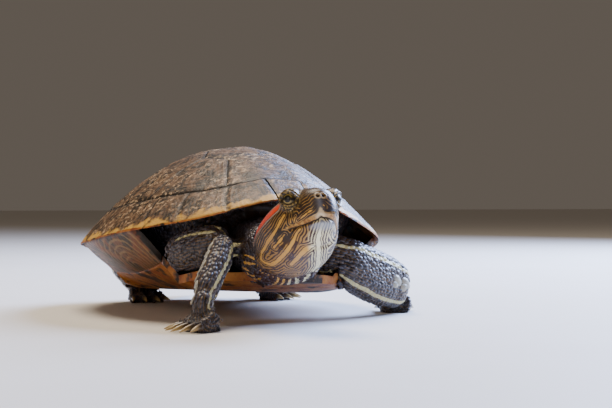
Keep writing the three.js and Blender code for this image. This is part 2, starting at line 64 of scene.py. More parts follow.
# Shell sizes in mm, in the shell's own level frame: it faces -Y, and its left is +X.
SHELL_LENGTH = 164
SHELL_WIDTH = 124.5
DOME_HEIGHT = 64
RIM_FLANK = 20.5
RIM_RISE_FRONT = 7.5
RIM_ARCH_NECK = 9
RIM_DROP_REAR = 2.5
SHELL_PITCH = math.radians(3)
SHELL_ROLL = math.radians(3)
SHELL_PLACE = np.array([2, -0.5, 8.3])
PLASTRON_THICKNESS = 3.6
RING_SHARE = 0.81
COSTAL_TURNS = [0.42, 1.12, 1.62, 2.12, 2.66]
VERTEBRAL_PLACES = [-62, -38, -11, 16, 43, 66]
VERTEBRAL_SEAM_HALF = [15, 14, 14.5, 14, 12, 12]
VERTEBRAL_MIDDLE_HALF = [18, 20, 20, 18.5, 15]
MARGINAL_SEAMS = [0.4, 0.72, 0.98, 1.22, 1.46, 1.7, 1.94, 2.18, 2.42, 2.66, 2.9]
PLASTRON_SEAMS = [-58, -40, -14, 24, 50]
BRIDGE_LINE = 41.3

# Head frame: origin between the eyes, facing -Y, left +X.
EYE_MIDDLE = np.array([-2.9, -113.6, 47.9])
HEAD_PITCH = math.radians(25)
HEAD_YAW = math.radians(3)
EYE_SIDE = 7.9
EYE_RADIUS = 3.85
GAZE = np.array([0.7, -0.69, -0.18])
HEAD_STATIONS = np.array([
    [-10.4, 2.4, -1.2, -9.5, 0.95],
    [-9.8, 4, 0.2, -12.2, 0.9],
    [-8.2, 5.9, 1.6, -13.4, 0.85],
    [-5, 8, 3.2, -14.5, 0.82],
    [-1, 9.6, 4.6, -15.6, 0.82],
    [3, 11.2, 5.3, -16.6, 0.82],
    [8, 13.3, 5.5, -17.8, 0.85],
    [14, 15.2, 5, -18.6, 0.88],
    [20, 15.9, 4, -19.6, 0.9],
    [25, 15.2, 2.6, -19.8, 0.92],
    [30, 14.4, 0.8, -19.4, 0.95],
])
# The mouth line: place along the head, height.
MOUTH_LINE = np.array([
    [-12, -11.2], [-9.6, -11.3], [-8, -11.7], [-3.8, -11.6], [1.6, -10.5], [3.4, -10.1],
])
# How far the pattern under the head swings to the left, by place along the head.
PATTERN_LEAN = np.array([
    [-11, -1.6], [-9, -2.2], [-5.7, -1.3], [-2, -0.6], [0.7, 0], [4.1, 1.7], [8.2, 3.2],
    [13, 4.9], [18, 7], [26, 8.5], [40, 6],
])
# Broad pale stripes of the right side of the head: half width, then points in the head frame.
HEAD_STRIPES = {
    "cheek_loop": (0.72, [
        (-10.8, 2.2, -4.5), (-11.7, 4.4, -6.0), (-12.4, 6.8, -7.9), (-13.3, 9.6, -9.3),
        (-14.2, 13.1, -10.3), (-14.5, 16.8, -11.6), (-14.8, 20.2, -12.2), (-13.8, 23.1, -13.3),
        (-12.6, 22.8, -15.1), (-10.9, 21.0, -16.6), (-9.9, 17.5, -16.7), (-9.1, 13.5, -16.4),
        (-8.6, 9.6, -15.8), (-8.2, 5.8, -14.8), (-8.2, 3.0, -13.8), (-8.0, 0.4, -12.7),
        (-7.6, -1.4, -12.2),
    ]),
    "loop_heart": (0.35, [(-12.5, 12.7, -13.2), (-11.6, 8.4, -12.4), (-10.8, 5.1, -11.3)]),
    "throat_fork": (0.95, [
        (-0.4, 4.4, -16.7), (-2.9, 6.6, -17.0), (-3.5, 9.2, -17.7),
        (-4.0, 13.0, -18.1), (-4.7, 16.6, -18.5),
    ]),
    "chin_middle": (0.8, [
        (-2.3, -9.0, -12.6), (-1.3, -5.7, -14.2), (-0.6, -2.1, -15.2), (0, 0.7, -15.9),
        (1.8, 4.1, -16.7), (3.3, 8.2, -17.6), (5.0, 13.1, -17.8), (7.4, 18.2, -18.1),
        (9.5, 25, -19), (8, 34, -19),
    ]),
    "snout_side": (0.22, [
        (-3.1, -10.1, -6.5), (-4.5, -9.2, -7.7), (-6.3, -7.1, -8.3), (-8.4, -2.8, -9.3),
    ]),
    "under_eye": (0.16, [(-9.7, -0.3, -5.6), (-9.8, 0.5, -8.7)]),
    "mouth_corner": (0.16, [(-8.8, -2.4, -7.4), (-8.9, 0.3, -10.0)]),
}
EAR_PATCH = (2.1, [
    (-11.6, 5.8, 0.3), (-12.9, 8.8, 0), (-14.4, 13, -0.8), (-15.8, 17.5, -1.9),
    (-16.2, 23, -3.6), (-15.6, 28, -5.4),
])
NECK_STRIPES = 26

# How far in mm the skin lies inside the flesh solids, and the most that it moves to get there.
SKIN_DEPTH = 0.3
DRAWN_MOST = 3.5

UP = (0, 0, 1)
ACROSS = (1, 0, 0)
FRONT_RIGHT_WIDE = (0.36, 0.93, 0)
HIND_LEFT_WIDE = (0.3, 0.95, 0)
HIND_RIGHT_WIDE = (-0.3, 0.95, 0)
# Each leg: stations (x, y, z, half width, half thickness), the wide axis, the palm, the
# heading of the toes, their span, number and reach, the claws' length, the turns round the
# leg at which its broad stripes run, and the turn and places of its row of large scales.
LEGS = {
    "front_right": {
        "stations": [
            (-30, -44, 27, 10, 8.5), (-27, -58, 30, 9.5, 8.5), (-22.5, -70, 31, 8.2, 7),
            (-26, -78, 27, 7.8, 5.4), (-33, -86, 18, 7.4, 5.6), (-37, -92, 11, 6.6, 4.6),
            (-38.5, -95.5, 5, 6, 4.4),
        ],
        "wide": FRONT_RIGHT_WIDE, "palm": (-38, -95.5, 4.4), "heading": 3.45,
        "span": 13, "toes": 5, "reach": 8, "claw": 6.5, "stripes": [-0.2, 1.5, 2.45],
        "big": (4.3, 0.4, 0.86),
    },
    "front_left": {
        "stations": [
            (20, -48, 28, 10, 8), (28, -60, 25, 10.5, 7.5), (38, -58, 20.5, 11.2, 7),
            (48, -53, 16.5, 12, 6.6), (58, -47, 13.3, 11.6, 6.2), (67, -41, 11, 9, 5.2),
        ],
        "wide": UP, "palm": (65, -38, 4.6), "heading": 1.2,
        "span": 13, "toes": 5, "reach": 8, "claw": 6.5, "stripes": [1.05, 2.4, 3.9, 5.4],
        "big": (1.6, 0.74, 0.97),
    },
    "hind_left": {
        "stations": [
            (20, 44, 24, 11, 9), (38, 40, 23, 10.5, 8.5), (46, 46, 18, 9, 7.6),
            (44, 56, 12, 7.4, 6.4), (39, 61, 8, 6.4, 6), (40, 59, 4.6, 6, 5),
        ],
        "wide": HIND_LEFT_WIDE, "palm": (42, 56, 4.4), "heading": -0.85,
        "span": 14, "toes": 4, "reach": 10, "claw": 5, "stripes": [0.4, 1.9, 3.6, 5.2],
        "big": None,
    },
    "hind_right": {
        "stations": [
            (-16, 44, 25, 10, 9), (-27, 46, 24, 9.5, 8), (-30, 54, 19, 8.6, 7),
            (-26, 62, 13, 7.2, 6.2), (-21, 67, 8, 6.4, 6), (-19.5, 66, 4.6, 6, 5),
        ],
        "wide": HIND_RIGHT_WIDE, "palm": (-19.5, 62, 4.4), "heading": -1.5,
        "span": 14, "toes": 4, "reach": 10, "claw": 5, "stripes": [0.4, 1.9, 3.6, 5.2],
        "big": None,
    },
}
TAIL_STATIONS = [
    (0, 48, 22, 8, 7), (0, 64, 18, 6.5, 6), (2, 76, 12.5, 4.8, 4.6), (7, 87, 8, 3.2, 3.1),
    (13, 96, 5.5, 1.8, 1.8), (18, 102, 4.6, 0.7, 0.7),
]


# ---- places and small mathematics ----


def ease(start, end, x):
    """A smooth step from 0 at start to 1 at end."""
    k = np.clip((x - start) / (end - start), 0, 1)
    return k * k * (3 - 2 * k)


def bell(x, width):
    """A smooth bump, 1 at x of 0 and near 0 beyond twice the width."""
    return np.exp(-((x / width) ** 2))


def unit(v):
    v = np.asarray(v, float)
    return v / np.maximum(np.linalg.norm(v, axis=-1, keepdims=True), 1e-9)


def box_middle(name):
    """Middle of a CAD node's box, in mm."""
    low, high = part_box(name)
    return (np.array(low) + np.array(high)) / 2 / MM


SHIFT = (box_middle("eye_left") + box_middle("eye_right")) / 2 - EYE_MIDDLE


def turn_matrix(axis, angle):
    """Matrix of a turn about X, Y or Z."""
    c, s = math.cos(angle), math.sin(angle)
    if axis == "X":
        return np.array([[1, 0, 0], [0, c, -s], [0, s, c]])
    if axis == "Y":
        return np.array([[c, 0, s], [0, 1, 0], [-s, 0, c]])
    return np.array([[c, -s, 0], [s, c, 0], [0, 0, 1]])


SHELL_TURN = turn_matrix("X", -SHELL_PITCH) @ turn_matrix("Y", SHELL_ROLL)
HEAD_TURN = turn_matrix("Z", HEAD_YAW) @ turn_matrix("X", -HEAD_PITCH)


def tilt(p):
    """From the shell's level frame to the turtle's frame, in mm."""
    return p @ SHELL_TURN.T + SHELL_PLACE


def untilt(p):
    """From the turtle's frame to the shell's level frame, in mm."""
    return (p - SHELL_PLACE) @ SHELL_TURN


def from_head(p):
    """From the head frame to the turtle's frame, in mm."""
    return np.asarray(p, float) @ HEAD_TURN.T + EYE_MIDDLE


def to_head(p):
    """From the turtle's frame to the head frame, in mm."""
    return (p - EYE_MIDDLE) @ HEAD_TURN


def rim_point(t):
    """Edge of the carapace at a turn t, from the front round by the left."""
    c, s = np.cos(t), np.sin(t)
    teeth = 1 + 0.012 * ease(-0.15, -0.6, c) * (np.abs(np.sin(12 * t)) - 0.5)
    x = SHELL_WIDTH / 2 * np.sign(s) * np.abs(s) ** 0.9 * (1 - 0.05 * c) * teeth
    nick = np.where(c > 0, 1 - 0.03 * bell(s, 0.12), 1)
    y = -SHELL_LENGTH / 2 * c * teeth * nick
    arch = np.where(c > 0, RIM_ARCH_NECK * bell(s, 0.45), 0)
    z = RIM_FLANK + RIM_RISE_FRONT * np.maximum(0, c) + arch - RIM_DROP_REAR * np.maximum(0, -c) ** 2
    return np.stack([x, y, z], -1)


TURN_TABLE = np.linspace(-math.pi, math.pi, 8193)
RIM_TABLE = rim_point(TURN_TABLE)
BEARING_TABLE = np.arctan2(RIM_TABLE[:, 0], -RIM_TABLE[:, 1])


def turn_and_share(x, y):
    """Turn round the shell and share of the way out to its edge of a plan point."""
    bearing = np.arctan2(x, -y)
    t = np.interp(bearing, BEARING_TABLE, TURN_TABLE)
    rim = rim_point(t)
    return t, np.hypot(x, y) / np.hypot(rim[..., 0], rim[..., 1])


def dome_height(x, y):
    """Height of the top of the carapace over a plan point of the shell."""
    t, share = turn_and_share(x, y)
    rim = rim_point(t)[..., 2]
    flattened = (np.clip(share, 0, 1) ** 4 + 0.2**4) ** 0.25
    return rim + (DOME_HEIGHT - rim) * (1 - np.minimum(flattened, 1) ** 1.84) ** 0.98 - 0.3


def shell_thickness(share):
    """Thickness of the carapace, thinner toward its edge."""
    return 2.9 - 1.6 * ease(0.86, 1, share)


def dome_under(x, y):
    """Height of the inner face of the carapace over a plan point."""
    return dome_height(x, y) - shell_thickness(turn_and_share(x, y)[1])


def bridge_share(y):
    """1 where the bridges join the plastron to the carapace, 0 before and behind."""
    return ease(-44, -36, y) * ease(41, 32, y)


def plastron_half(y):
    """Half width of the plastron at a place y, out to the shell's edge at the bridges."""
    lobe = np.where(y < 0, 35, 36)
    end = np.where(y < 0, (y + 74) / 34, (76 - y) / 44)
    rounded = np.sqrt(np.maximum(0, 1 - (1 - np.clip(end, 0, 1)) ** 2.2))
    out = rim_point(np.arccos(np.clip(-2 * y / SHELL_LENGTH, -1, 1)))[..., 0] * 0.965
    k = bridge_share(y)
    return np.maximum(lobe * rounded * (1 - k) + out * k, 3)


def plastron_low(x, y):
    """Height of the underside of the plastron and bridges at a plan point."""
    half = plastron_half(y)
    wide = np.clip((np.abs(x) - 22) / np.maximum(1, half - 22), 0, 1)
    rim = rim_point(np.arccos(np.clip(-2 * y / SHELL_LENGTH, -1, 1)))[..., 2]
    k = bridge_share(y)
    lift = k * (rim - 1.5) * (0.55 * wide + 0.45 * wide**3) + (1 - k) * 2 * wide**2
    return lift + 4 * ease(-40, -75, y) + 1.2 * ease(50, 75, y)


def value_noise(p, size, seed):
    """Smooth noise from 0 to 1 at points p, in cells of a size, the same on every run."""
    q = np.asarray(p, float) / size
    cell = np.floor(q).astype(np.int64)
    f = q - cell
    f = f * f * (3 - 2 * f)
    total = np.zeros(len(q))
    for corner in range(8):
        step = np.array([corner & 1, corner >> 1 & 1, corner >> 2 & 1])
        c = cell + step
        mixed = (c[:, 0] * 73856093) ^ (c[:, 1] * 19349663) ^ (c[:, 2] * 83492791) ^ (seed * 2654435761)
        mixed = (mixed ^ (mixed >> 13)) * 1274126177
        chance = ((mixed ^ (mixed >> 16)) & 0xFFFF) / 65535
        weight = np.prod(np.where(step == 1, f, 1 - f), axis=1)
        total += chance * weight
    return total


# ---- meshes ----


def set_out(name, data):
    """Puts an object with its data in the scene."""
    made = bpy.data.objects.new(name, data)
    bpy.context.scene.collection.objects.link(made)
    return made


def store(mesh, attributes):
    """Stores numbers, or rows of three, on the points of a mesh, by name."""
    for key, values in attributes.items():
        values = np.asarray(values, np.float32)
        kind, slot = ("FLOAT", "value") if values.ndim == 1 else ("FLOAT_VECTOR", "vector")
        mesh.attributes.new(key, kind, "POINT").data.foreach_set(slot, values.ravel())


def smooth_faces(mesh):
    """Shades every face of a mesh smooth."""
    mesh.polygons.foreach_set("use_smooth", np.full(len(mesh.polygons), True))


def make_piece(name, points, faces, materials, attributes=None, indices=None):
    """A mesh object from points in mm of the turtle's frame."""
    mesh = bpy.data.meshes.new(name)
    mesh.from_pydata(((np.asarray(points) + SHIFT) * MM).tolist(), [], faces)
    if indices is not None:
        mesh.polygons.foreach_set("material_index", np.asarray(indices, np.int32))
    smooth_faces(mesh)
    store(mesh, attributes or {})
    for material in materials:
        mesh.materials.append(material)
    mesh.update()
    return set_out(name, mesh)


def points_of(mesh):
    """Vertices of a mesh in mm of the turtle's frame."""
    flat = np.zeros(len(mesh.vertices) * 3)
    mesh.vertices.foreach_get("co", flat)
    return flat.reshape(-1, 3) / MM - SHIFT


def normals_of(mesh):
    """Outward directions at the vertices of a mesh."""
    flat = np.zeros(len(mesh.vertices) * 3)
    mesh.vertices.foreach_get("normal", flat)
    return flat.reshape(-1, 3)


def move_points(mesh, points):
    """Moves the vertices of a mesh to points in mm of the turtle's frame."""
    mesh.vertices.foreach_set("co", ((points + SHIFT) * MM).ravel())
    mesh.update()


def edges_of(mesh):
    """Pairs of vertices that an edge of a mesh joins."""
    flat = np.zeros(len(mesh.edges) * 2, np.int64)
    mesh.edges.foreach_get("vertices", flat)
    return flat.reshape(-1, 2)


def relax(points, edges, rounds, weight=None):
    """Moves each point toward the middle of its neighbours."""
    count = np.bincount(edges.ravel(), minlength=len(points))[:, None]
    k = 0.5 if weight is None else 0.5 * weight[:, None]
    for _ in range(rounds):
        total = np.stack([
            np.bincount(edges[:, 0], points[edges[:, 1], axis], len(points))
            + np.bincount(edges[:, 1], points[edges[:, 0], axis], len(points))
            for axis in range(3)
        ], 1)
        points = points + k * (total / np.maximum(count, 1) - points)
    return points


def loft(rings):
    """Points and faces of a closed body through rings of equal numbers of points."""
    rings = np.asarray(rings, float)
    n, m = rings.shape[:2]
    points = np.concatenate([rings.reshape(-1, 3), rings[0].mean(0)[None], rings[-1].mean(0)[None]])
    faces = []
    for i in range(n - 1):
        for j in range(m):
            k = (j + 1) % m
            faces.append((i * m + j, i * m + k, (i + 1) * m + k, (i + 1) * m + j))
    for j in range(m):
        k = (j + 1) % m
        faces.append((n * m, k, j))
        faces.append((n * m + 1, (n - 1) * m + j, (n - 1) * m + k))
    triangles = [(f[0], f[a], f[a + 1]) for f in faces for a in range(1, len(f) - 1)]
    corners = points[np.array(triangles)] - points.mean(0)
    volume = np.einsum("ij,ij->i", corners[:, 0], np.cross(corners[:, 1], corners[:, 2])).sum()
    if volume < 0:
        faces = [f[::-1] for f in faces]
    return points, faces


def join_bodies(bodies):
    """Points and faces of several bodies as one."""
    points, faces, start = [], [], 0
    for p, f in bodies:
        points.append(p)
        faces += [tuple(i + start for i in face) for face in f]
        start += len(p)
    return np.concatenate(points), faces


def path_point(path, u):
    """Point of a smooth curve through a path at a share u of its spans."""
    last = len(path) - 1
    k = min(int(last * u), last - 1)
    w = last * u - k
    p1, p2 = path[k], path[k + 1]
    p0 = path[k - 1] if k > 0 else 2 * path[0] - path[1]
    p3 = path[k + 2] if k + 2 <= last else 2 * path[last] - path[last - 1]
    d0, d1, d2 = (max(np.linalg.norm(b - a) ** 0.5, 1e-4) for a, b in ((p0, p1), (p1, p2), (p2, p3)))
    t1 = ((p1 - p0) / d0 - (p2 - p0) / (d0 + d1) + (p2 - p1) / d1) * d1
    t2 = ((p2 - p1) / d1 - (p3 - p1) / (d1 + d2) + (p3 - p2) / d2) * d1
    a, b = 2 * p1 - 2 * p2 + t1 + t2, -3 * p1 + 3 * p2 - 2 * t1 - t2
    return a * w**3 + b * w**2 + t1 * w + p1


def limb_rings(stations, wide, sides, steps, inset=0.0):
    """Rings of a limb along a smooth path, with a flattened section."""
    stations = np.asarray(stations, float)
    rings = []
    for n in range(steps + 1):
        u = n / steps
        middle = path_point(stations[:, :3], u)
        before, after = (path_point(stations[:, :3], at) for at in (max(0, u - 0.01), min(1, u + 0.01)))
        along = unit(after - before)
        side = unit(np.asarray(wide, float) - along * np.dot(wide, along))
        thin = np.cross(along, side)
        k = min(int(u * (len(stations) - 1)), len(stations) - 2)
        f = ease(0, 1, u * (len(stations) - 1) - k)
        a, b = stations[k, 3:5] * (1 - f) + stations[k + 1, 3:5] * f - inset
        t = np.arange(sides) * 2 * math.pi / sides
        c, s = np.cos(t), np.sin(t)
        rings.append(
            middle
            + np.outer(a * np.sign(c) * np.abs(c) ** 0.85, side)
            + np.outer(b * np.sign(s) * np.abs(s) ** 0.85, thin)
        )
    return np.array(rings)


def toes_and_claws(leg):
    """Toes fanned from a palm, and for each claw its root, direction and length."""
    palm, heading = np.array(leg["palm"], float), leg["heading"]
    along = np.array([math.cos(heading), math.sin(heading), 0])
    side = np.array([-math.sin(heading), math.cos(heading), 0])
    toes, claws = [], []
    for i in range(leg["toes"]):
        k = 2 * i / (leg["toes"] - 1) - 1
        fan = heading + 0.34 * k
        out = np.array([math.cos(fan), math.sin(fan), 0])
        start = palm + side * leg["span"] * 0.3 * k - along * 3
        tip = palm + side * leg["span"] * 0.34 * k + out * leg["reach"] * (1 - 0.14 * k * k)
        tip[2] = 2.1
        middle = start * 0.4 + tip * 0.6
        span = leg["span"]
        stations = [
            (*start, span * 0.24, palm[2] * 1.13 + 0.6),
            (*middle, span * 0.16, 4),
            (*tip, 1.7, 2.7),
        ]
        toes.append(loft(limb_rings(stations, side, 20, 12, 0.35)))
        dip = unit(np.array([out[0], out[1], -0.06]))
        claws.append((tip - dip + np.array([0, 0, 0.3]), dip, (leg["claw"] + 1) * (1 - 0.12 * k * k)))
    return toes, claws


def distance_to_lines(points, lines):
    """Least distance in mm from points to lines, each less the line's half width."""
    best = np.full(len(points), 60.0)
    for half, line in lines:
        line = np.asarray(line, float)
        for i, (a, b) in enumerate(zip(line[:-1], line[1:])):
            near = np.flatnonzero(np.abs(points - (a + b) / 2).max(1) < 14 + np.linalg.norm(b - a))
            if len(near) == 0:
                continue
            p = points[near] - a
            d = b - a
            k = np.clip(p @ d / max(d @ d, 1e-9), 0, 1)
            gap = np.linalg.norm(p - k[:, None] * d, axis=1)
            at = (i + k) / (len(line) - 1)
            swell = half * (0.55 + 0.45 * np.sin(math.pi * np.clip(at, 0.05, 0.95)) ** 0.5)
            best[near] = np.minimum(best[near], gap - swell)
    return best


# ---- materials ----


def linear(code):
    """Linear colour of an sRGB hex code."""
    parts = [int(code[i : i + 2], 16) / 255 for i in (1, 3, 5)]
    return [c / 12.92 if c <= 0.04045 else ((c + 0.055) / 1.055) ** 2.4 for c in parts] + [1]


def add(tree, kind, inputs=None, out=0, **settings):
    """Adds a node with its settings, its inputs set to a value or linked to a socket, and
    returns one of its outputs, or the node where it has none."""
    made = tree.nodes.new(kind)
    for key, value in settings.items():
        setattr(made, key, value)
    for key, value in (inputs or {}).items():
        if isinstance(value, bpy.types.NodeSocket):
            tree.links.new(value, made.inputs[key])
        else:
            made.inputs[key].default_value = value
    return made.outputs[out] if made.outputs else made


def new_material(name, masks=()):
    """A material, its tree, its shader and the masks that the mesh carries as attributes."""
    material = bpy.data.materials.new(name)
    material.use_nodes = True
    tree = material.node_tree
    read = {key: add(tree, "ShaderNodeAttribute", out="Fac", attribute_name=key) for key in masks}
    return material, tree, tree.nodes["Principled BSDF"], read


def grain(tree, size_mm, detail=3.0, roughness=0.5, seed=0.0):
    """An uneven pattern from 0 to 1 with features of a real size in mm."""
    place = add(tree, "ShaderNodeTexCoord", out="Object")
    moved = add(tree, "ShaderNodeMapping", {"Vector": place, "Location": (seed, seed * 0.7, seed * 1.3)})
    return add(tree, "ShaderNodeTexNoise", {
        "Vector": moved, "Scale": 1 / (size_mm * MM), "Detail": detail, "Roughness": roughness,
    }, out="Fac")


def paint(tree, ground, colour, *tests, strength=1.0):
    """Lays a colour over a ground, both hex codes or sockets, where all the tests hold. A test
    is a mask, or a value with the limits between which its mask turns from 0 to 1."""
    mask = strength
    for test in tests:
        if isinstance(test, tuple):
            limits = dict(zip(("Value", "From Min", "From Max"), test))
            test = add(tree, "ShaderNodeMapRange", limits, interpolation_type="SMOOTHSTEP")
        mask = add(tree, "ShaderNodeMath", {0: test, 1: mask}, operation="MULTIPLY")
    ground, colour = (linear(c) if isinstance(c, str) else c for c in (ground, colour))
    return add(tree, "ShaderNodeMix", {0: mask, 6: ground, 7: colour}, out=2, data_type="RGBA")


def finish_surface(tree, shader, colour, constants, relief=None, roughness=None, bump=None):
    """Gives a shader its colour and constants and, from one relief, its range of roughness
    and its bump, a strength and a depth in mm."""
    tree.links.new(colour, shader.inputs["Base Color"])
    for key, value in constants.items():
        shader.inputs[key].default_value = value
    if roughness:
        limits = {"Value": relief, "To Min": roughness[0], "To Max": roughness[1]}
        uneven = add(tree, "ShaderNodeMapRange", limits)
        tree.links.new(uneven, shader.inputs["Roughness"])
    if bump:
        heights = {"Height": relief, "Strength": bump[0], "Distance": bump[1] * MM}
        raised = add(tree, "ShaderNodeBump", heights)
        tree.links.new(raised, shader.inputs["Normal"])


def skin_material(name, scaled):
    """Reptile skin, living: dark, slightly glossy, with clear pale stripes that the light catches as a cool
    sheen. The throat is painted pale over its left side where the light falls, the front of the chin carries
    a painted blue-grey sheen, and creases and holes a painted dark shade. On the scales the edges are paler
    than the middles and bluish, their own paler edge with a painted cool sheen."""
    colours = bpy.context.scene.turtle_skin
    names = ["stripe", "red", "limb", "pale", "throat", "quiet", "chin", "horn", "peak", "lid", "pit"]
    material, tree, shader, mask = new_material(name, names + ["crest", "big"] * scaled)
    wobble = grain(tree, 2.6, 2.0, 0.5, 1.0)
    for key, swing in (("stripe", 0.9), ("red", 0.8)):
        swung = add(tree, "ShaderNodeMath", {0: wobble, 1: swing, 2: -swing / 2}, operation="MULTIPLY_ADD")
        mask[key] = add(tree, "ShaderNodeMath", {0: mask[key], 1: swung}, operation="ADD")
    stripe, red = mask["stripe"], mask["red"]
    ground = paint(tree, colours.ground, colours.ground_light, (grain(tree, 1.6, 3.0, 0.6, 4.0), 0.4, 0.65))
    ground = paint(tree, ground, colours.throat_ground, mask["throat"])
    limb_ground = paint(tree, colours.limb_dark, colours.limb_light,
                        (grain(tree, 2.4, 2.0, 0.5, 6.0), 0.4, 0.62))
    ground = paint(tree, ground, limb_ground, mask["limb"])
    # thin lines lie alongside the broad stripes at an even pitch, as contours do
    half = colours.line_pitch / 2
    wave = add(tree, "ShaderNodeMath", {0: stripe, 1: half}, operation="PINGPONG")
    uneven = add(tree, "ShaderNodeMath", {0: grain(tree, 3.2, 2.0, 0.5, 21.0), 1: 0.55, 2: -0.275},
                 operation="MULTIPLY_ADD")
    wave = add(tree, "ShaderNodeMath", {0: wave, 1: uneven}, operation="ADD")
    wave = add(tree, "ShaderNodeMath", {0: mask["throat"], 1: 0.22 * half, 2: wave}, operation="MULTIPLY_ADD")
    on_head, loud = (
        add(tree, "ShaderNodeMath", {0: mask[key], 1: -share, 2: 1.0}, operation="MULTIPLY_ADD")
        for key, share in (("limb", 0.7), ("quiet", 1.0))
    )
    # pale throat lines and stripes: their own cream near the middle line, painted light over the lit left
    # side
    line_colour = paint(tree, colours.line, colours.line_pale, mask["pale"])
    colour = paint(tree, ground, line_colour, (wave, 0.6 * half, 0.85 * half), (stripe, 0.2, 0.5),
                   (grain(tree, 5.0, 1.0, 0.5, 9.0), 0.3, 0.45), on_head, loud)
    stripe_colour = paint(tree, colours.stripe, colours.stripe_pale, mask["pale"])
    stripe_colour = paint(tree, stripe_colour, colours.limb_stripe, mask["limb"])
    colour = paint(tree, colour, stripe_colour, (stripe, 0.16, -0.12))
    colour = paint(tree, colour, colours.patch_edge, (red, 0.25, 0.5), (red, 1.1, 0.8))
    colour = paint(tree, colour, colours.patch, (red, 0.2, -0.1))
    # painted sheen: a cool blue-grey laid on the front of the chin and the strip under the nose, standing in
    # for reflected light
    colour = paint(tree, colour, colours.chin, mask["chin"])
    horn = paint(tree, colours.beak, colours.beak_light, (grain(tree, 1.2, 2.0, 0.5, 3.0), 0.35, 0.65))
    horn = paint(tree, horn, colours.beak_peak, mask["peak"])
    colour = paint(tree, colour, horn, mask["horn"])
    lid = paint(tree, colours.lid_dark, colours.lid, (grain(tree, 0.9, 2.0, 0.6, 7.0), 0.45, 0.6))
    colour = paint(tree, colour, lid, mask["lid"])
    # painted shade: near black in the crease round the eye, the mouth crease and the nostril holes
    colour = paint(tree, colour, "#150c08", mask["pit"])
    if scaled:
        # scale edges paler and bluish: partly the scales' own paler edges, partly a painted cool sheen
        colour = paint(tree, colour, colours.scale_edge_sheen, mask["crest"], strength=0.4)
        colour = paint(tree, colour, colours.scale_big, mask["big"])
    gloss = {"IOR": 1.4, "Coat Weight": 0.12, "Coat Roughness": 0.2}
    finish_surface(tree, shader, colour, gloss, grain(tree, 0.5, 3.0, 0.6, 2.0), (0.3, 0.5), (0.4, 0.25))
    return material


def carapace_material():
    """Keratin scutes, grown in rings and worn by the ground: a brown horn that scatters a broad soft
    highlight, with dark blotches, cream flecks painted as highlights and scattered at random, and a paler,
    chipped edge."""
    colours = bpy.context.scene.turtle_shell
    material, tree, shader, mask = new_material("carapace keratin, grown and worn", ["edge", "rim"])
    edge = mask["edge"]
    colour = paint(tree, colours.horn, colours.horn_light, (grain(tree, 2.6, 4.0, 0.65, 5.0), 0.42, 0.6))
    colour = paint(tree, colour, colours.blotch, (grain(tree, 6.0, 4.0, 0.6, 2.0), 0.5, 0.57))
    ring = add(tree, "ShaderNodeMath", {0: grain(tree, 4, 2.0, 0.5, 3.0), 1: 1.6, 2: edge},
               operation="MULTIPLY_ADD")
    ring = add(tree, "ShaderNodeMath", {0: ring, 1: 0.85}, operation="PINGPONG")
    colour = paint(tree, colour, colours.ring, (ring, 0.45, 0.8), strength=0.2)
    colour = paint(tree, colour, colours.seam, (edge, 1.0, 0.25))
    # painted highlights: cream flecks scattered over the carapace stand in for glints of light on the bumpy
    # horn
    colour = paint(tree, colour, colours.highlight_fleck, (grain(tree, 2.0, 4.0, 0.7, 12.0), 0.52, 0.62),
                   (grain(tree, 14.0, 2.0, 0.5, 15.0), 0.42, 0.56), strength=0.5)
    chips = add(tree, "ShaderNodeMath", {0: grain(tree, 7, 3.0, 0.5, 8.0), 1: 0.9, 2: -0.45},
                operation="MULTIPLY_ADD")
    worn = add(tree, "ShaderNodeMath", {0: mask["rim"], 1: chips}, operation="ADD")
    colour = paint(tree, colour, colours.edge, (worn, 0.86, 1.0))
    relief = grain(tree, 1.1, 5.0, 0.6, 1.0)
    finish_surface(tree, shader, colour, {"IOR": 1.4}, relief, (0.32, 0.6), (0.45, 0.6))
    return material


def underside_material(name, ground, warm_ground, dark, dark_share):
    """Plastral keratin, thin and smooth: warm yellow horn with dark smoky figures."""
    colours = bpy.context.scene.turtle_shell
    material, tree, shader, mask = new_material(name, ["arc", "edge"])
    colour = paint(tree, ground, warm_ground, (grain(tree, 5.0, 2.0, 0.5, 1.0), 0.35, 0.7))
    smoke = grain(tree, 8.0, 3.0, 0.55, 4.0)
    colour = paint(tree, colour, dark, (smoke, 0.62 - dark_share, 0.72 - dark_share))
    arc = add(tree, "ShaderNodeMath", {0: grain(tree, 5, 2.0, 0.5, 6.0), 1: 2.4, 2: mask["arc"]},
              operation="MULTIPLY_ADD")
    arc = add(tree, "ShaderNodeMath", {0: arc, 1: 1.5}, operation="PINGPONG")
    colour = paint(tree, colour, colours.under_arc, (arc, 0.8, 1.3), (mask["arc"], 0.1, 1.0), strength=0.5)
    colour = paint(tree, colour, colours.seam, (mask["edge"], 0.5, 0.15))
    relief = grain(tree, 1.5, 4.0, 0.6, 2.0)
    finish_surface(tree, shader, colour, {"IOR": 1.46}, relief, (0.4, 0.65), (0.5, 0.6))
    return material


def claw_material():
    """Claw horn, grown in long fibres: straw-coloured, darker at the root and half glossy."""
    material, tree, shader, mask = new_material("claw keratin, fibrous", ["length", "turn"])
    round_it = add(tree, "ShaderNodeMath", {0: mask["turn"], 1: 9.0}, operation="MULTIPLY")
    place = add(tree, "ShaderNodeCombineXYZ", {0: round_it, 1: mask["length"]})
    streak = add(tree, "ShaderNodeTexNoise", {"Vector": place, "Scale": 1.0, "Detail": 2.0}, out="Fac")
    colour = paint(tree, "#3b2a1c", "#b59a63", (mask["length"], 0.15, 0.7))
    colour = paint(tree, colour, "#5d4628", (streak, 0.45, 0.65), strength=0.5)
    gloss = {"Roughness": 0.35, "IOR": 1.54, "Coat Weight": 0.3}
    finish_surface(tree, shader, colour, gloss, streak, bump=(0.3, 0.15))
    return material


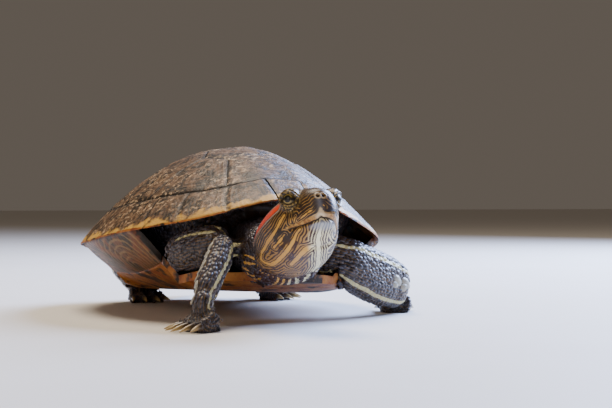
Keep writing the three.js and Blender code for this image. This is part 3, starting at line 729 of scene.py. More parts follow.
def eye_material():
    """A wet eye: olive iris with a dark bar and a round pupil under a clear, hard gloss."""
    material, tree, shader, mask = new_material("eye, wet cornea over iris", ["polar", "height"])
    polar = mask["polar"]
    level = add(tree, "ShaderNodeMath", {0: mask["height"]}, operation="ABSOLUTE")
    colour = paint(tree, "#33270c", "#665424", (grain(tree, 0.35, 2.0, 0.6, 1.0), 0.4, 0.62))
    colour = paint(tree, colour, "#8f793a", (polar, 0.34, 0.38), (polar, 0.5, 0.44))
    colour = paint(tree, colour, "#1c120a", (level, 0.2, 0.12), (polar, 0.3, 0.4))
    colour = paint(tree, colour, "#1c120a", (polar, 0.8, 0.95))
    colour = paint(tree, colour, "#050403", (polar, 0.35, 0.31))
    gloss = {"Roughness": 0.4, "IOR": 1.34, "Coat Weight": 0.3, "Coat Roughness": 0.03}
    finish_surface(tree, shader, colour, gloss)
    return material


def floor_material():
    """Matt seamless paper: pale, even and slightly rough."""
    material, tree, shader, _ = new_material("studio paper, matt")
    colour = paint(tree, "#d6d0c8", "#dcd7d0", grain(tree, 60.0, 2.0))
    finish_surface(tree, shader, colour, {"Roughness": 0.6})
    return material


# ---- shell ----


def sample(line, count):
    """Evenly spaced points of a line."""
    line = np.asarray(line, float)
    at = np.concatenate([[0], np.cumsum(np.linalg.norm(np.diff(line, axis=0), axis=1))])
    want = np.linspace(0, at[-1], count)
    return np.stack([np.interp(want, at, line[:, k]) for k in range(line.shape[1])], 1)


def patch_grid(front, rear, inner, outer):
    """A grid of plan points between four sides, at about 0.9 mm."""
    across = int(np.clip(np.linalg.norm(np.subtract(front[0], front[-1])) / 0.85, 12, 60))
    across = max(across, int(np.clip(np.linalg.norm(np.subtract(rear[0], rear[-1])) / 0.85, 12, 60)))
    along = int(np.clip(np.linalg.norm(np.subtract(outer[0], outer[-1])) / 0.85, 14, 64))
    f, r, i, o = sample(front, across), sample(rear, across), sample(inner, along), sample(outer, along)
    u = np.linspace(0, 1, across)[None, :, None]
    v = np.linspace(0, 1, along)[:, None, None]
    ruled = (1 - v) * f[None] + v * r[None] + (1 - u) * i[:, None] + u * o[:, None]
    return ruled - ((1 - u) * (1 - v) * f[0] + u * (1 - v) * f[-1] + (1 - u) * v * r[0] + u * v * r[-1])


def ring_arc(start, end, count=24):
    """The inner border of the marginal plates between two turns, in plan."""
    rim = rim_point(np.linspace(start, end, count))
    return rim[:, :2] * RING_SHARE


def nearest_gap(points, outline):
    """Distance from plan points to the nearest point of a dense outline."""
    gaps = np.linalg.norm(points[:, None] - outline[None], axis=2)
    return gaps.min(1)


def slab(name, grid, top_z, low_z, materials, attributes):
    """A closed plate over a grid of plan points, with its upper and lower heights."""
    rows, columns = grid.shape[:2]
    count = rows * columns
    upper = tilt(np.concatenate([grid, top_z[..., None]], 2).reshape(-1, 3))
    lower = tilt(np.concatenate([grid, low_z[..., None]], 2).reshape(-1, 3))
    at = np.arange(count).reshape(rows, columns)
    a, b, c, d = at[:-1, :-1].ravel(), at[:-1, 1:].ravel(), at[1:, 1:].ravel(), at[1:, :-1].ravel()
    top = np.stack([a, b, c, d], 1)
    border = np.concatenate([at[0, :], at[1:, -1], at[-1, -2::-1], at[-2:0:-1, 0]])
    following = np.roll(border, -1)
    wall = np.stack([border, border + count, following + count, following], 1)
    faces = np.concatenate([top, top[:, ::-1] + count, wall])
    middle = grid[rows // 2, columns // 2]
    u, v = grid[rows // 2, columns // 2 + 1] - middle, grid[rows // 2 + 1, columns // 2] - middle
    if u[0] * v[1] - u[1] * v[0] < 0:
        faces = faces[:, ::-1]
    indices = np.concatenate([np.zeros(len(top)), np.ones(len(top)), np.ones(len(wall))])
    doubled = {key: np.concatenate([value.ravel(), value.ravel()]) for key, value in attributes.items()}
    piece = make_piece(name, np.concatenate([upper, lower]), faces.tolist(), materials, doubled, indices)
    piece.data.set_sharp_from_angle(angle=math.radians(50))
    return piece


def plate(name, grid, seams, materials, rim_row=False):
    """One horny plate of the carapace with sunk seams and growth rings."""
    settings = bpy.context.scene.turtle_shell
    flat = grid.reshape(-1, 2)
    middle = flat.mean(0)
    outline = np.concatenate([grid[0], grid[-1], grid[:, 0]] + ([] if rim_row else [grid[:, -1]]) + seams)
    edge = nearest_gap(flat, outline)
    t, share = turn_and_share(flat[:, 0], flat[:, 1])
    z = dome_height(flat[:, 0], flat[:, 1])
    p = np.column_stack([flat, z])
    rings = np.sin(edge * 2 * math.pi / settings.ring_spacing + 2.2 * value_noise(p, 6, 3))
    rings *= ease(0.4, 1.2, edge) * ease(9, 4, edge)
    relief = -settings.seam_depth * bell(edge, 0.8) + 0.07 * rings - 0.25
    relief += 0.5 * (value_noise(p, 8, 5) - 0.5) + 0.34 * (value_noise(p, 2.4, 6) - 0.5)
    if name.startswith("vertebral"):
        relief += 0.4 * bell(flat[:, 0], 2.6) * ease(0, 5, edge)
    top = z + np.minimum(relief, 0.1)
    low = z - shell_thickness(share)
    if rim_row:
        top -= 0.35 * ease(0.97, 1, share)
    shape = grid.shape[:2]
    keep = 1 - 0.12 / np.maximum(1, np.abs(flat - middle).max(0))
    if not rim_row:
        flat = middle + (flat - middle) * keep
    else:
        flat = flat * 0.995
    rim = np.clip((share - RING_SHARE) / (1 - RING_SHARE), 0, 1)
    rim += 0.14 * ease(0.8, 0.4, np.abs(t)) * ease(0.94, 0.97, share)
    attributes = {"edge": edge, "rim": rim, "arc": np.zeros(len(edge))}
    piece = slab(name, flat.reshape(*shape, 2), top.reshape(shape), low.reshape(shape), materials,
                 {k: v.reshape(shape) for k, v in attributes.items()})
    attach(piece, "root")
    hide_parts(name)
    return piece


def seam_point(i):
    """Left end of the seam before vertebral plate i, in plan."""
    return [VERTEBRAL_SEAM_HALF[i], VERTEBRAL_PLACES[i]]


def middle_point(i):
    """Left corner half way along vertebral plate i, in plan."""
    return [VERTEBRAL_MIDDLE_HALF[i], (VERTEBRAL_PLACES[i] + VERTEBRAL_PLACES[i + 1]) / 2]


def mirrored(line):
    """A plan line on the other side of the shell."""
    return [(-x, y) for x, y in line]


def build_carapace():
    """Vertebral, costal, nuchal and marginal plates."""
    top = carapace_material()
    colours = bpy.context.scene.turtle_shell
    under = underside_material("marginal keratin, smoked yellow", colours.under, colours.under_warm,
                               colours.under_dark, 0.1)
    materials = [top, under]
    for i in range(5):
        front = [mirrored([seam_point(i)])[0], seam_point(i)]
        rear = [mirrored([seam_point(i + 1)])[0], seam_point(i + 1)]
        left = [seam_point(i), middle_point(i), seam_point(i + 1)]
        if i == 0:
            front = ring_arc(-COSTAL_TURNS[0], COSTAL_TURNS[0])
            left = [front[-1], seam_point(1)]
        if i == 4:
            rear = ring_arc(COSTAL_TURNS[4], 2 * math.pi - COSTAL_TURNS[4])[::-1]
            left = [seam_point(4), rear[-1]]
        grid = patch_grid(front, rear, mirrored(left), left)
        plate(f"vertebral_plate_{i + 1}", grid, [], materials)
    inner = [
        [seam_point(1), middle_point(1)],
        [middle_point(1), seam_point(2), middle_point(2)],
        [middle_point(2), seam_point(3), middle_point(3)],
        [middle_point(3), seam_point(4)],
    ]
    for i in range(4):
        outer = ring_arc(COSTAL_TURNS[i], COSTAL_TURNS[i + 1])
        sides = [[inner[i][0], outer[0]], [inner[i][-1], outer[-1]], inner[i], outer]
        plate(f"costal_plate_left_{i + 1}", patch_grid(*sides), [], materials)
        plate(f"costal_plate_right_{i + 1}", patch_grid(*[mirrored(s) for s in sides]), [], materials)
    shares = np.linspace(RING_SHARE + 0.002, 1, 18)
    turns = np.linspace(-0.35, 0.35, 400)
    near_front = rim_point(turns)

    def nuchal_turn(share, k):
        """Turn at which the nuchal plate's side lies, at a share of the way out."""
        half = 6 + (near_front[200, 1] * share + 90) / 30 * 1.5
        return np.interp(k * half, near_front[:, 0] * share, turns)

    rows = []
    for share in shares[::-1]:
        t = [nuchal_turn(share, k) for k in np.linspace(-0.97, 0.97, 16)]
        rows.append(rim_point(np.array(t))[:, :2] * share)
    plate("nuchal_plate", np.array(rows), [], materials)
    for name, side in (("left", 1), ("right", -1)):
        rows = []
        lines = [[] for _ in MARGINAL_SEAMS]
        for share in shares:
            start = nuchal_turn(share, 1.04)
            at = np.linspace(start, math.pi - 0.003, 330)
            rim = rim_point(at)[:, :2] * share
            rows.append(rim * [side, 1])
            for k, seam in enumerate(MARGINAL_SEAMS):
                hook = seam + 0.02 * math.sin((share - RING_SHARE) / (1 - RING_SHARE) * math.pi)
                p = rim_point(np.array(hook))[:2] * share
                lines[k].append([p[0] * side, p[1]])
        grid = np.array(rows).transpose(1, 0, 2)
        plate(f"marginal_plates_{name}", grid, [sample(line, 60) for line in lines], materials, rim_row=True)


def build_underside():
    """The plastron and its two bridges, with seams and pale arcs."""
    settings = bpy.context.scene.turtle_shell
    under = underside_material("plastron keratin, smoky yellow", settings.under, settings.under_warm,
                               settings.under_dark, 0.12)
    bridge = underside_material("bridge keratin, dark with arcs", settings.bridge, settings.bridge_warm,
                                settings.under_dark, 0.14)
    for name, side in (("plastron", 0), ("bridge_left", 1), ("bridge_right", -1)):
        if side == 0:
            y = np.linspace(-73.7, 75.7, 150)
            limit = np.minimum(plastron_half(y) - 0.2, BRIDGE_LINE - 0.6)
            k = np.linspace(-1, 1, 84)
            x = limit[:, None] * k[None]
        else:
            y = np.linspace(-45, 42, 90)
            y = y[plastron_half(y) > BRIDGE_LINE + 0.6]
            k = np.linspace(0, 1, 24)
            x = side * (BRIDGE_LINE + (plastron_half(y)[:, None] - 0.3 - BRIDGE_LINE) * k[None])
        grid = np.stack([x, np.broadcast_to(y[:, None], x.shape)], 2)
        flat = grid.reshape(-1, 2)
        gaps = [np.abs(flat[:, 1] - seam - 2.5 * np.cos(flat[:, 0] / 9)) for seam in PLASTRON_SEAMS]
        if side == 0:
            gaps.append(np.abs(flat[:, 0]))
        edge = np.min(gaps, axis=0)
        low = plastron_low(flat[:, 0], flat[:, 1]) + 0.15
        roof = dome_under(flat[:, 0], flat[:, 1]) - 0.35
        high = np.maximum(np.minimum(low + PLASTRON_THICKNESS - 0.3, roof), low + 0.5)
        low += settings.seam_depth * 0.8 * bell(edge, 0.5)
        centres = np.array([[side * 44, -16], [side * 44, 20]])
        arc = np.min([np.hypot((flat[:, 0] - x) * 1.2, flat[:, 1] - y) for x, y in centres], axis=0)
        arc = arc * abs(side)
        shape = grid.shape[:2]
        material = under if side == 0 else bridge
        piece = slab(name, grid, high.reshape(shape), low.reshape(shape), [material, material],
                     {"edge": edge.reshape(shape), "arc": arc.reshape(shape)})
        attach(piece, "root")
        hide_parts(name)


# ---- skin ----


def head_body():
    """The head as a loft through its stations, slightly inside its solid."""
    places = np.linspace(-10.1, 30, 60)
    columns = [np.interp(places, HEAD_STATIONS[:, 0], HEAD_STATIONS[:, k]) for k in range(5)]
    for k in range(1, 5):
        for _ in range(2):
            columns[k][1:-1] = (columns[k][:-2] + 2 * columns[k][1:-1] + columns[k][2:]) / 4
    t = np.arange(64) * 2 * math.pi / 64
    rings = []
    for y, half, high, low, square in zip(places, *columns[1:]):
        middle = high - (high - low) * 0.47
        c, s = np.cos(t), np.sin(t)
        x = (half - 0.2) * np.sign(c) * np.abs(c) ** square
        reach = np.where(s > 0, high - middle, middle - low) - 0.2
        z = middle + reach * np.sign(s) * np.abs(s) ** square
        rings.append(from_head(np.column_stack([x, np.full(len(t), y), z])))
    return loft(rings)


def ball_body(centre, radii):
    """An ellipsoid in the head frame, as the bulge about an eye."""
    t = np.arange(32) * 2 * math.pi / 32
    rings = []
    for latitude in np.linspace(-1.45, 1.45, 17):
        c, s = math.cos(latitude), math.sin(latitude)
        ring = np.column_stack([np.full(32, s), c * np.cos(t), c * np.sin(t)]) * radii + centre
        rings.append(from_head(ring))
    return loft(rings)


def neck_stations():
    """Stations of the neck, from the back of the head into the shell."""
    nape = from_head([0, 28.5, -9.3])
    return [
        (*nape, 14.3, 10.1), (-2.5, -81.5, 28, 17.5, 13.8), (0, -70, 28.5, 17, 13.2), (1, -52, 30, 17, 12.5),
    ]


def trunk_body():
    """The flesh under the shell, standing clear of its plates."""
    t = np.arange(48) * 2 * math.pi / 48
    reach = 0.72 + 0.13 * np.abs(np.sin(t)) ** 1.5
    rim = rim_point(t)
    rings = []
    for k in (0, 0.25, 0.5, 0.75, 1):
        share = reach * (0.6 + 0.4 * math.sin(math.pi / 2 * k))
        x, y = rim[:, 0] * share, rim[:, 1] * share
        low = plastron_low(x, y) + PLASTRON_THICKNESS + 0.4
        high = dome_under(rim[:, 0] * reach, rim[:, 1] * reach) - 1
        z = low + (high - low) * (k * 0.85 + 0.15 * k * k)
        rings.append(tilt(np.column_stack([x, y, z])))
    for k in (0.75, 0.4):
        x, y = rim[:, 0] * reach * k, rim[:, 1] * reach * k
        rings.append(tilt(np.column_stack([x, y, dome_under(x, y) - 1])))
    return loft(rings)


def clear_of_shell(points):
    """Presses flesh back inside the carapace and off the plastron, and flattens the soles."""
    p = untilt(points)
    x, y, z = p.T.copy()
    share = turn_and_share(x, y)[1]
    roof = dome_under(x, y) - 0.5
    z = np.where((share < 0.995) & (z > roof), roof, z)
    low = plastron_low(x, y)
    inside = (np.abs(x) < plastron_half(y) + 0.4) & (y > -74.4) & (y < 76.4)
    slab_top, slab_low = low + PLASTRON_THICKNESS + 0.4, low - 0.5
    within = inside & (z < slab_top) & (z > slab_low)
    z = np.where(within & (z > low + 1.2), slab_top, np.where(within, slab_low, z))
    done = tilt(np.column_stack([x, y, z]))
    done[:, 2] = np.maximum(done[:, 2], 0.0)
    return done


def nearest_limb(points):
    """For each point the limb it belongs to, its place along it from 0 to 1, its turn round
    the limb, and the direction toward the limb's tip."""
    axes = []
    for name, leg in LEGS.items():
        axes.append((name, limb_rings(leg["stations"], leg["wide"], 32, 40)))
    axes.append(("tail", limb_rings(TAIL_STATIONS, ACROSS, 32, 40)))
    axes.append(("neck", limb_rings(neck_stations(), ACROSS, 32, 40)[::-1]))
    best = np.full(len(points), 1e9)
    which = np.zeros(len(points), int)
    along = np.zeros(len(points))
    turn = np.zeros(len(points))
    lie = np.zeros((len(points), 3))
    for n, (_, rings) in enumerate(axes):
        centres = rings.mean(1)
        sides, thins = unit(rings[:, 0] - centres), unit(rings[:, 8] - centres)
        size = np.linalg.norm(rings[:, 0] - centres, axis=1)
        tree = kdtree.KDTree(len(centres))
        for i, c in enumerate(centres):
            tree.insert(c, i)
        tree.balance()
        near = np.array([tree.find(p)[1:] for p in points.tolist()])
        k = near[:, 0].astype(int)
        score = near[:, 1] / size[k]
        better = score < best
        best[better] = score[better]
        which[better] = n
        along[better] = k[better] / (len(centres) - 1)
        out = points - centres[k]
        turn[better] = np.arctan2((out * thins[k]).sum(1), (out * sides[k]).sum(1))[better]
        heading = unit(np.gradient(centres, axis=0))[k]
        lie[better] = heading[better]
    return which, along, turn, lie


def pattern_place(p):
    """Head frame points with the lean of the underside pattern taken out."""
    lean = np.interp(p[:, 1], PATTERN_LEAN[:, 0], PATTERN_LEAN[:, 1])
    low = np.maximum(ease(-9, -15, p[:, 2]), ease(-6, -9.5, p[:, 1]))
    return np.column_stack([p[:, 0] - lean * low, p[:, 1], p[:, 2]])


def shape_face(head, normals):
    """Lids, mouth, beak and nostrils pressed into the head. Returns moved points and masks, among them a
    painted sheen on the chin and a painted shade in the creases and holes.
    """
    p = head.copy()
    lid = np.zeros(len(p))
    # painted shade mask: near black where the lids, the mouth crease and the nostril holes sink in
    pit = np.zeros(len(p))
    up = unit(np.array([0, 0, 1]) @ HEAD_TURN)
    for side in (-1, 1):
        centre = np.array([side * EYE_SIDE, 0, 0.1])
        gaze = unit(GAZE * [side, 1, 1])
        level = unit(np.cross(gaze, up))
        rise = np.cross(level, gaze)
        out = p - centre
        radius = np.linalg.norm(out, axis=1)
        d = out / np.maximum(radius, 1e-6)[:, None]
        cosine = d @ gaze
        h = np.arctan2(d @ level, cosine)
        v = np.arctan2(d @ rise, cosine)
        opening = (h / 0.82) ** 2 + (np.where(v > 0, v / 0.5, v / 0.56)) ** 2
        angle = np.arccos(np.clip(cosine, -1, 1))
        near = ease(1.75, 1.25, angle) * ease(7.5, 5.6, radius)
        fold = 0.28 * bell(opening - 1.55, 0.45) - 0.16 * bell(opening - 2.7, 0.4)
        fold += 0.14 * bell(opening - 3.7, 0.5)
        target = 2.9 + 1.45 * ease(0.7, 1.1, opening) + fold
        p += d * ((target - radius) * near)[:, None]
        lid = np.maximum(lid, near * ease(1.45, 1.1, angle))
        pit = np.maximum(pit, near * bell(opening - 0.95, 0.12) * 0.8)
    q = pattern_place(p)
    y, z = q[:, 1], q[:, 2]
    mouth = np.interp(y, MOUTH_LINE[:, 0], MOUTH_LINE[:, 1]) + 0.55 * bell(q[:, 0], 0.8) * (y < -6)
    gap = z - mouth
    face = ease(4.2, 2.6, y)
    crease = bell(gap, 0.42) * face
    beak = bell(gap - 1.1, 0.8) * face * ease(4, -4, y)
    jaw = ease(-0.1, -0.7, gap) * ease(-3.5, -1.5, gap) * face
    p += normals * (-0.75 * crease + 0.3 * beak - 0.28 * jaw)[:, None]
    band = 0.9 + 0.7 * ease(3, -7, y) + 1.9 * bell(q[:, 0], 0.9) * ease(-7, -9, y)
    horn = ease(-0.15, 0.1, gap) * ease(band + 0.25, band - 0.25, gap) * ease(4.0, 3.2, y)
    pit = np.maximum(pit, ease(0.35, 0.85, crease))
    for side in (-1, 1):
        nostril = np.array([-0.95 + side * 1.05, -10.2, -2.8])
        gap = np.linalg.norm((p - nostril) * [1, 0.6, 1], axis=1)
        hole = bell(gap, 0.5)
        brim = bell(gap - 0.95, 0.35)
        p += normals * (0.18 * brim - 0.9 * hole)[:, None]
        pit = np.maximum(pit, ease(0.3, 0.8, hole))
        horn = np.maximum(horn, 0.7 * bell(gap - 1.05, 0.3))
    # painted sheen: the front of the chin and the strip under the nose get a blue-grey standing in for
    # reflected cool light
    chin = ease(-0.5, -1.2, z - mouth) * ease(-3.8, -2.4, z - mouth) * ease(-3, -7, y) * 0.75
    under_nose = bell(q[:, 0], 1.1) * ease(-3.2, -4.4, z) * ease(-8.5, -9.5, y) * (z > mouth)
    chin = np.maximum(chin, 0.4 * under_nose)
    peak = bell(q[:, 0], 2.2) * ease(-6, -9, y)
    return p, {"lid": lid, "pit": pit, "horn": horn, "chin": chin, "peak": peak}


def skin_attributes(points):
    """Distances to the markings and masks of the regions, at each point."""
    head = to_head(points)
    which, along, turn, lie = nearest_limb(points)
    q = pattern_place(head)
    folded = np.column_stack([-np.abs(q[:, 0]), q[:, 1:]])
    lines = []
    for name, (half, line) in HEAD_STRIPES.items():
        line = pattern_place(np.array(line, float))
        other = line * [-1, 1, 1]
        lines += [(half, line), (half, other[2:] if name == "throat_fork" else other)]
    stripe = np.full(len(points), 60.0)
    on_head = head[:, 1] < 34
    stripe[on_head] = distance_to_lines(q[on_head], lines)
    red = np.full(len(points), 60.0)
    red[on_head] = distance_to_lines(folded[on_head], [EAR_PATCH])
    limb_lines = []
    for leg in LEGS.values():
        rings = limb_rings(leg["stations"], leg["wide"], 64, 40, 0.4)
        for at in leg["stripes"]:
            line = rings[:, int(at / (2 * math.pi) * 64) % 64]
            limb_lines.append((0.85, line[4:]))
    rings = limb_rings(TAIL_STATIONS, ACROSS, 32, 30)
    limb_lines += [(0.5, rings[:, k]) for k in (0, 8, 16, 24)]
    others = distance_to_lines(points, limb_lines)
    pitch = 2 * math.pi / NECK_STRIPES
    swirled = turn + 0.02 * (points[:, 2] - 20) + 0.34 * (value_noise(points, 6, 8) - 0.5)
    neck = np.abs((swirled + pitch / 2) % pitch - pitch / 2) * 15.5 - 0.75
    neck += 1.8 * ease(0.62, 0.8, value_noise(points, 5, 12)) + 4 * ease(-74, -66, points[:, 1])
    neck += 1.5 * ease(24, 34, points[:, 2])
    blend = ease(24, 30, head[:, 1])
    stripe = np.where(on_head, stripe * (1 - blend) + neck * blend, neck)
    stripe = np.where(which < 5, others, stripe)
    limb = np.where(which < 5, 1.0, 0.0)
    throat = ease(-12, -14.5, head[:, 2]) * (which == 5)
    throat = np.maximum(throat, ease(-9, -11, head[:, 2]) * ease(2, -5, head[:, 1]) * (which == 5))
    # pale throat: near the middle line the cream is its own colour, over the whole left side, where the light
    # falls, it is painted light
    pale = throat * np.where(q[:, 0] > 0, 1, ease(5, 2, -q[:, 0]))
    quiet = 0.6 * ease(-4.5, -1.5, head[:, 2]) * ease(12, 5, head[:, 1])
    quiet = np.maximum(quiet, 0.4 * ease(-8.6, -10, head[:, 1]) * ease(-10, -8.5, head[:, 2]))
    under_nose = ease(-8.6, -9.6, head[:, 1]) * ease(3.2, 2, np.abs(q[:, 0])) * ease(-3.4, -4.2, head[:, 2])
    quiet = np.maximum(quiet, 0.9 * under_nose * ease(-9.5, -8.5, head[:, 2]))
    quiet = np.maximum(quiet, blend) * (which == 5)
    masks = {"stripe": stripe, "red": red, "limb": limb, "pale": pale, "throat": throat, "quiet": quiet}
    return masks, which, along, turn, lie


def unwrap_place(which, along, turn):
    """Place of a point on the skin's unwrap: one strip for each limb, round by along."""
    cell_u, cell_v = (which % 3) / 3, (which // 3) / 2
    u = cell_u + (0.02 + 0.96 * (turn / (2 * math.pi) + 0.5)) / 3
    v = cell_v + (0.02 + 0.96 * along) / 2
    return np.column_stack([u, v])


def evaluated_copy(piece):
    """The object's mesh with its modifiers applied."""
    graph = bpy.context.evaluated_depsgraph_get()
    return bpy.data.meshes.new_from_object(piece.evaluated_get(graph))


def eye_gap(head):
    """Distance in mm from the middle of the nearer eye, of points in the head frame."""
    folded = np.column_stack([np.abs(head[:, 0]), head[:, 1:]])
    return np.linalg.norm(folded - [EYE_SIDE, 0, 0], axis=1)


def draw_in(mesh, depth, rounds=2):
    """How far each point of a skin moves in along its normal, by a smooth amount, so that it
    lies at a depth in mm inside the flesh solids. Lids stay over eyes and soles on the floor."""
    corners, faces = [], []
    for name in FLESH_NODES:
        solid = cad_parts[name].data
        faces += [[len(corners) + i for i in face.vertices] for face in solid.polygons]
        corners += points_of(solid).tolist()
    tree = BVHTree.FromPolygons(corners, faces)
    edges = edges_of(mesh)
    start = points_of(mesh)
    for _ in range(rounds):
        points, normals = points_of(mesh), normals_of(mesh)
        need = np.zeros(len(points))
        for i, p in enumerate(points.tolist()):
            place, normal, _, gap = tree.find_nearest(p)
            need[i] = depth + math.copysign(gap, (Vector(p) - place).dot(normal))
        head = to_head(points)
        need = np.clip(need, 0, DRAWN_MOST) * ease(5.5, 7.5, eye_gap(head))
        for _ in range(3):
            widest = need.copy()
            np.maximum.at(widest, edges[:, 0], need[edges[:, 1]])
            np.maximum.at(widest, edges[:, 1], need[edges[:, 0]])
            need = widest
        need = relax(np.repeat(need[:, None], 3, axis=1), edges, 8)[:, 0]
        step = normals * need[:, None]
        step[:, 2] *= ease(0.2, 2.0, points[:, 2])
        move_points(mesh, points - step)
    drawn = points_of(mesh) - start
    move_points(mesh, start)
    return drawn


# What the scales need to know of the finished skin.
SKIN_STATE = {}


def skin_bodies():
    """Head, trunk, neck, tail, legs and toes as closed bodies that overlap."""
    bodies = [head_body(), trunk_body()]
    for side in (-1, 1):
        bodies.append(ball_body([side * EYE_SIDE, 0, 0.1], [3.75, 4.6, 4.6]))
    bodies.append(loft(limb_rings(neck_stations(), ACROSS, 48, 24, 0.4)))
    bodies.append(loft(limb_rings(TAIL_STATIONS, ACROSS, 20, 24, 0.25)))
    for leg in LEGS.values():
        rings = limb_rings(leg["stations"], leg["wide"], 40, 40, 0.5)
        for ring, share in zip(rings[-4:], (0.99, 0.96, 0.88, 0.72)):
            ring[:] = ring.mean(0) + (ring - ring.mean(0)) * share
        bodies.append(loft(rings))
        bodies += toes_and_claws(leg)[0]
    return bodies


def one_skin():
    """The bodies joined in one closed surface, softened and kept clear of the shell, as an
    object, and its points in mm."""
    raw = make_piece("skin_raw", *join_bodies(skin_bodies()), [])
    remesh = raw.modifiers.new("one skin", "REMESH")
    remesh.mode = "VOXEL"
    remesh.voxel_size = bpy.context.scene.turtle_skin.voxel * MM
    mesh = evaluated_copy(raw)
    bpy.data.objects.remove(raw)
    points, edges = points_of(mesh), edges_of(mesh)
    soften = np.where(to_head(points)[:, 1] < 4, 0.7, 1.0)
    points = clear_of_shell(relax(points, edges, 6, soften))
    points = clear_of_shell(relax(points, edges, 2))
    move_points(mesh, points)
    return set_out("skin", mesh), points


def thin_hidden_faces(skin, points):
    """Leaves fewer faces where the shell hides the skin."""
    x, y, z = untilt(points).T
    hidden = np.flatnonzero((turn_and_share(x, y)[1] < 0.62) & (z > plastron_low(x, y) + 3))
    group = skin.vertex_groups.new(name="hidden")
    group.add(hidden.tolist(), 1.0, "REPLACE")
    thin = skin.modifiers.new("fewer hidden faces", "DECIMATE")
    thin.vertex_group = "hidden"
    thin.ratio = 1 - 0.93 * len(hidden) / len(points)
    lighter = evaluated_copy(skin)
    skin.modifiers.clear()
    skin.data = lighter
    skin.vertex_groups.clear()


def refine_face(mesh):
    """Divides the faces of the head once, and those about eyes and nostrils once more."""
    for rear, closest in ((15.0, False), (1.5, True)):
        head = to_head(points_of(mesh))
        chosen = head[:, 1] < rear
        if closest:
            nose = np.linalg.norm(head - [-1, -10.2, -2.8], axis=1)
            chosen = (eye_gap(head) < 5.2) | (nose < 3)
        chosen &= np.abs(head[:, 0]) < 30
        work = bmesh.new()
        work.from_mesh(mesh)
        work.verts.ensure_lookup_table()
        picked = [e for e in work.edges if all(chosen[v.index] for v in e.verts)]
        bmesh.ops.subdivide_edges(work, edges=picked, cuts=1, use_grid_fill=True)
        work.to_mesh(mesh)
        work.free()
        mesh.update()
        points = points_of(mesh)
        head = to_head(points)
        weight = ((head[:, 1] < rear + 1) & (head[:, 1] > -40)) * 0.8
        move_points(mesh, relax(points, edges_of(mesh), 2, weight))


def build_skin():
    """The skin with its face, folds, markings and material."""
    skin, points = one_skin()
    thin_hidden_faces(skin, points)
    mesh = skin.data
    refine_face(mesh)
    drawn = draw_in(mesh, SKIN_DEPTH)
    points, normals = points_of(mesh), normals_of(mesh)
    head = to_head(points)
    face_points, face_masks = shape_face(head, normals @ HEAD_TURN)
    on_face = ease(12, 9, head[:, 1]) * (np.abs(head[:, 0]) < 30)
    points = points + (from_head(face_points) - points) * on_face[:, None]
    masks, which, along, turn, lie = skin_attributes(points)
    masks.update({key: value * on_face for key, value in face_masks.items()})
    neck = (which == 5) * ease(20, 30, head[:, 1])
    wave = np.abs(np.sin(head[:, 1] * 1.15 + 3.0 * value_noise(points, 7, 2)))
    wrinkle = wave * value_noise(points, 4, 9)
    lumps = (value_noise(points, 1.7, 4) - 0.5) * np.maximum(masks["limb"], neck)
    points += normals * (0.22 * lumps - 0.9 * neck * wrinkle)[:, None]
    points = clear_of_shell(points) + drawn
    move_points(mesh, points)
    store(mesh, masks)
    smooth_faces(mesh)
    mesh.materials.clear()
    mesh.materials.append(skin_material("reptile skin, living", False))
    mesh.update()
    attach(skin, "root")
    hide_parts(*FLESH_NODES)
    SKIN_STATE.update(points=points, drawn=drawn, normals=normals_of(mesh), which=which,
                      along=along, turn=turn, lie=lie)


# ---- scales ----


# Edge in mm of the boxes in which near roots are looked for: wider than any spacing.
ROOT_CELL = 3.0


def scale_template():
    """One small shield-shaped scale, 1 across, lying along +X with its free edge at +X."""
    t = np.arange(8) * math.pi / 4 + math.pi / 8
    reach = 1 + 0.22 * np.maximum(0, np.cos(t)) ** 2
    base = np.column_stack([0.56 * reach * np.cos(t), 0.5 * np.sin(t), -0.16 + 0 * t])
    shoulder = np.column_stack([0.44 * reach * np.cos(t), 0.4 * np.sin(t), 0.1 + 0.12 * np.cos(t)])
    points = np.concatenate([base, shoulder, [[0.02, 0, 0.2]]])
    faces = []
    for j in range(8):
        k = (j + 1) % 8
        faces += [(j, k, 8 + k, 8 + j), (8 + j, 8 + k, 16)]
    faces.append(tuple(range(8))[::-1])
    mesh = bpy.data.meshes.new("scale_template")
    mesh.from_pydata(points.tolist(), [], faces)
    smooth_faces(mesh)
    crest = np.concatenate([np.full(8, 0.9), 0.55 + 0.3 * np.cos(t), [0]])
    store(mesh, {"crest": crest, "patch": points * [1, 1, 0]})
    return set_out("scale_template", mesh)


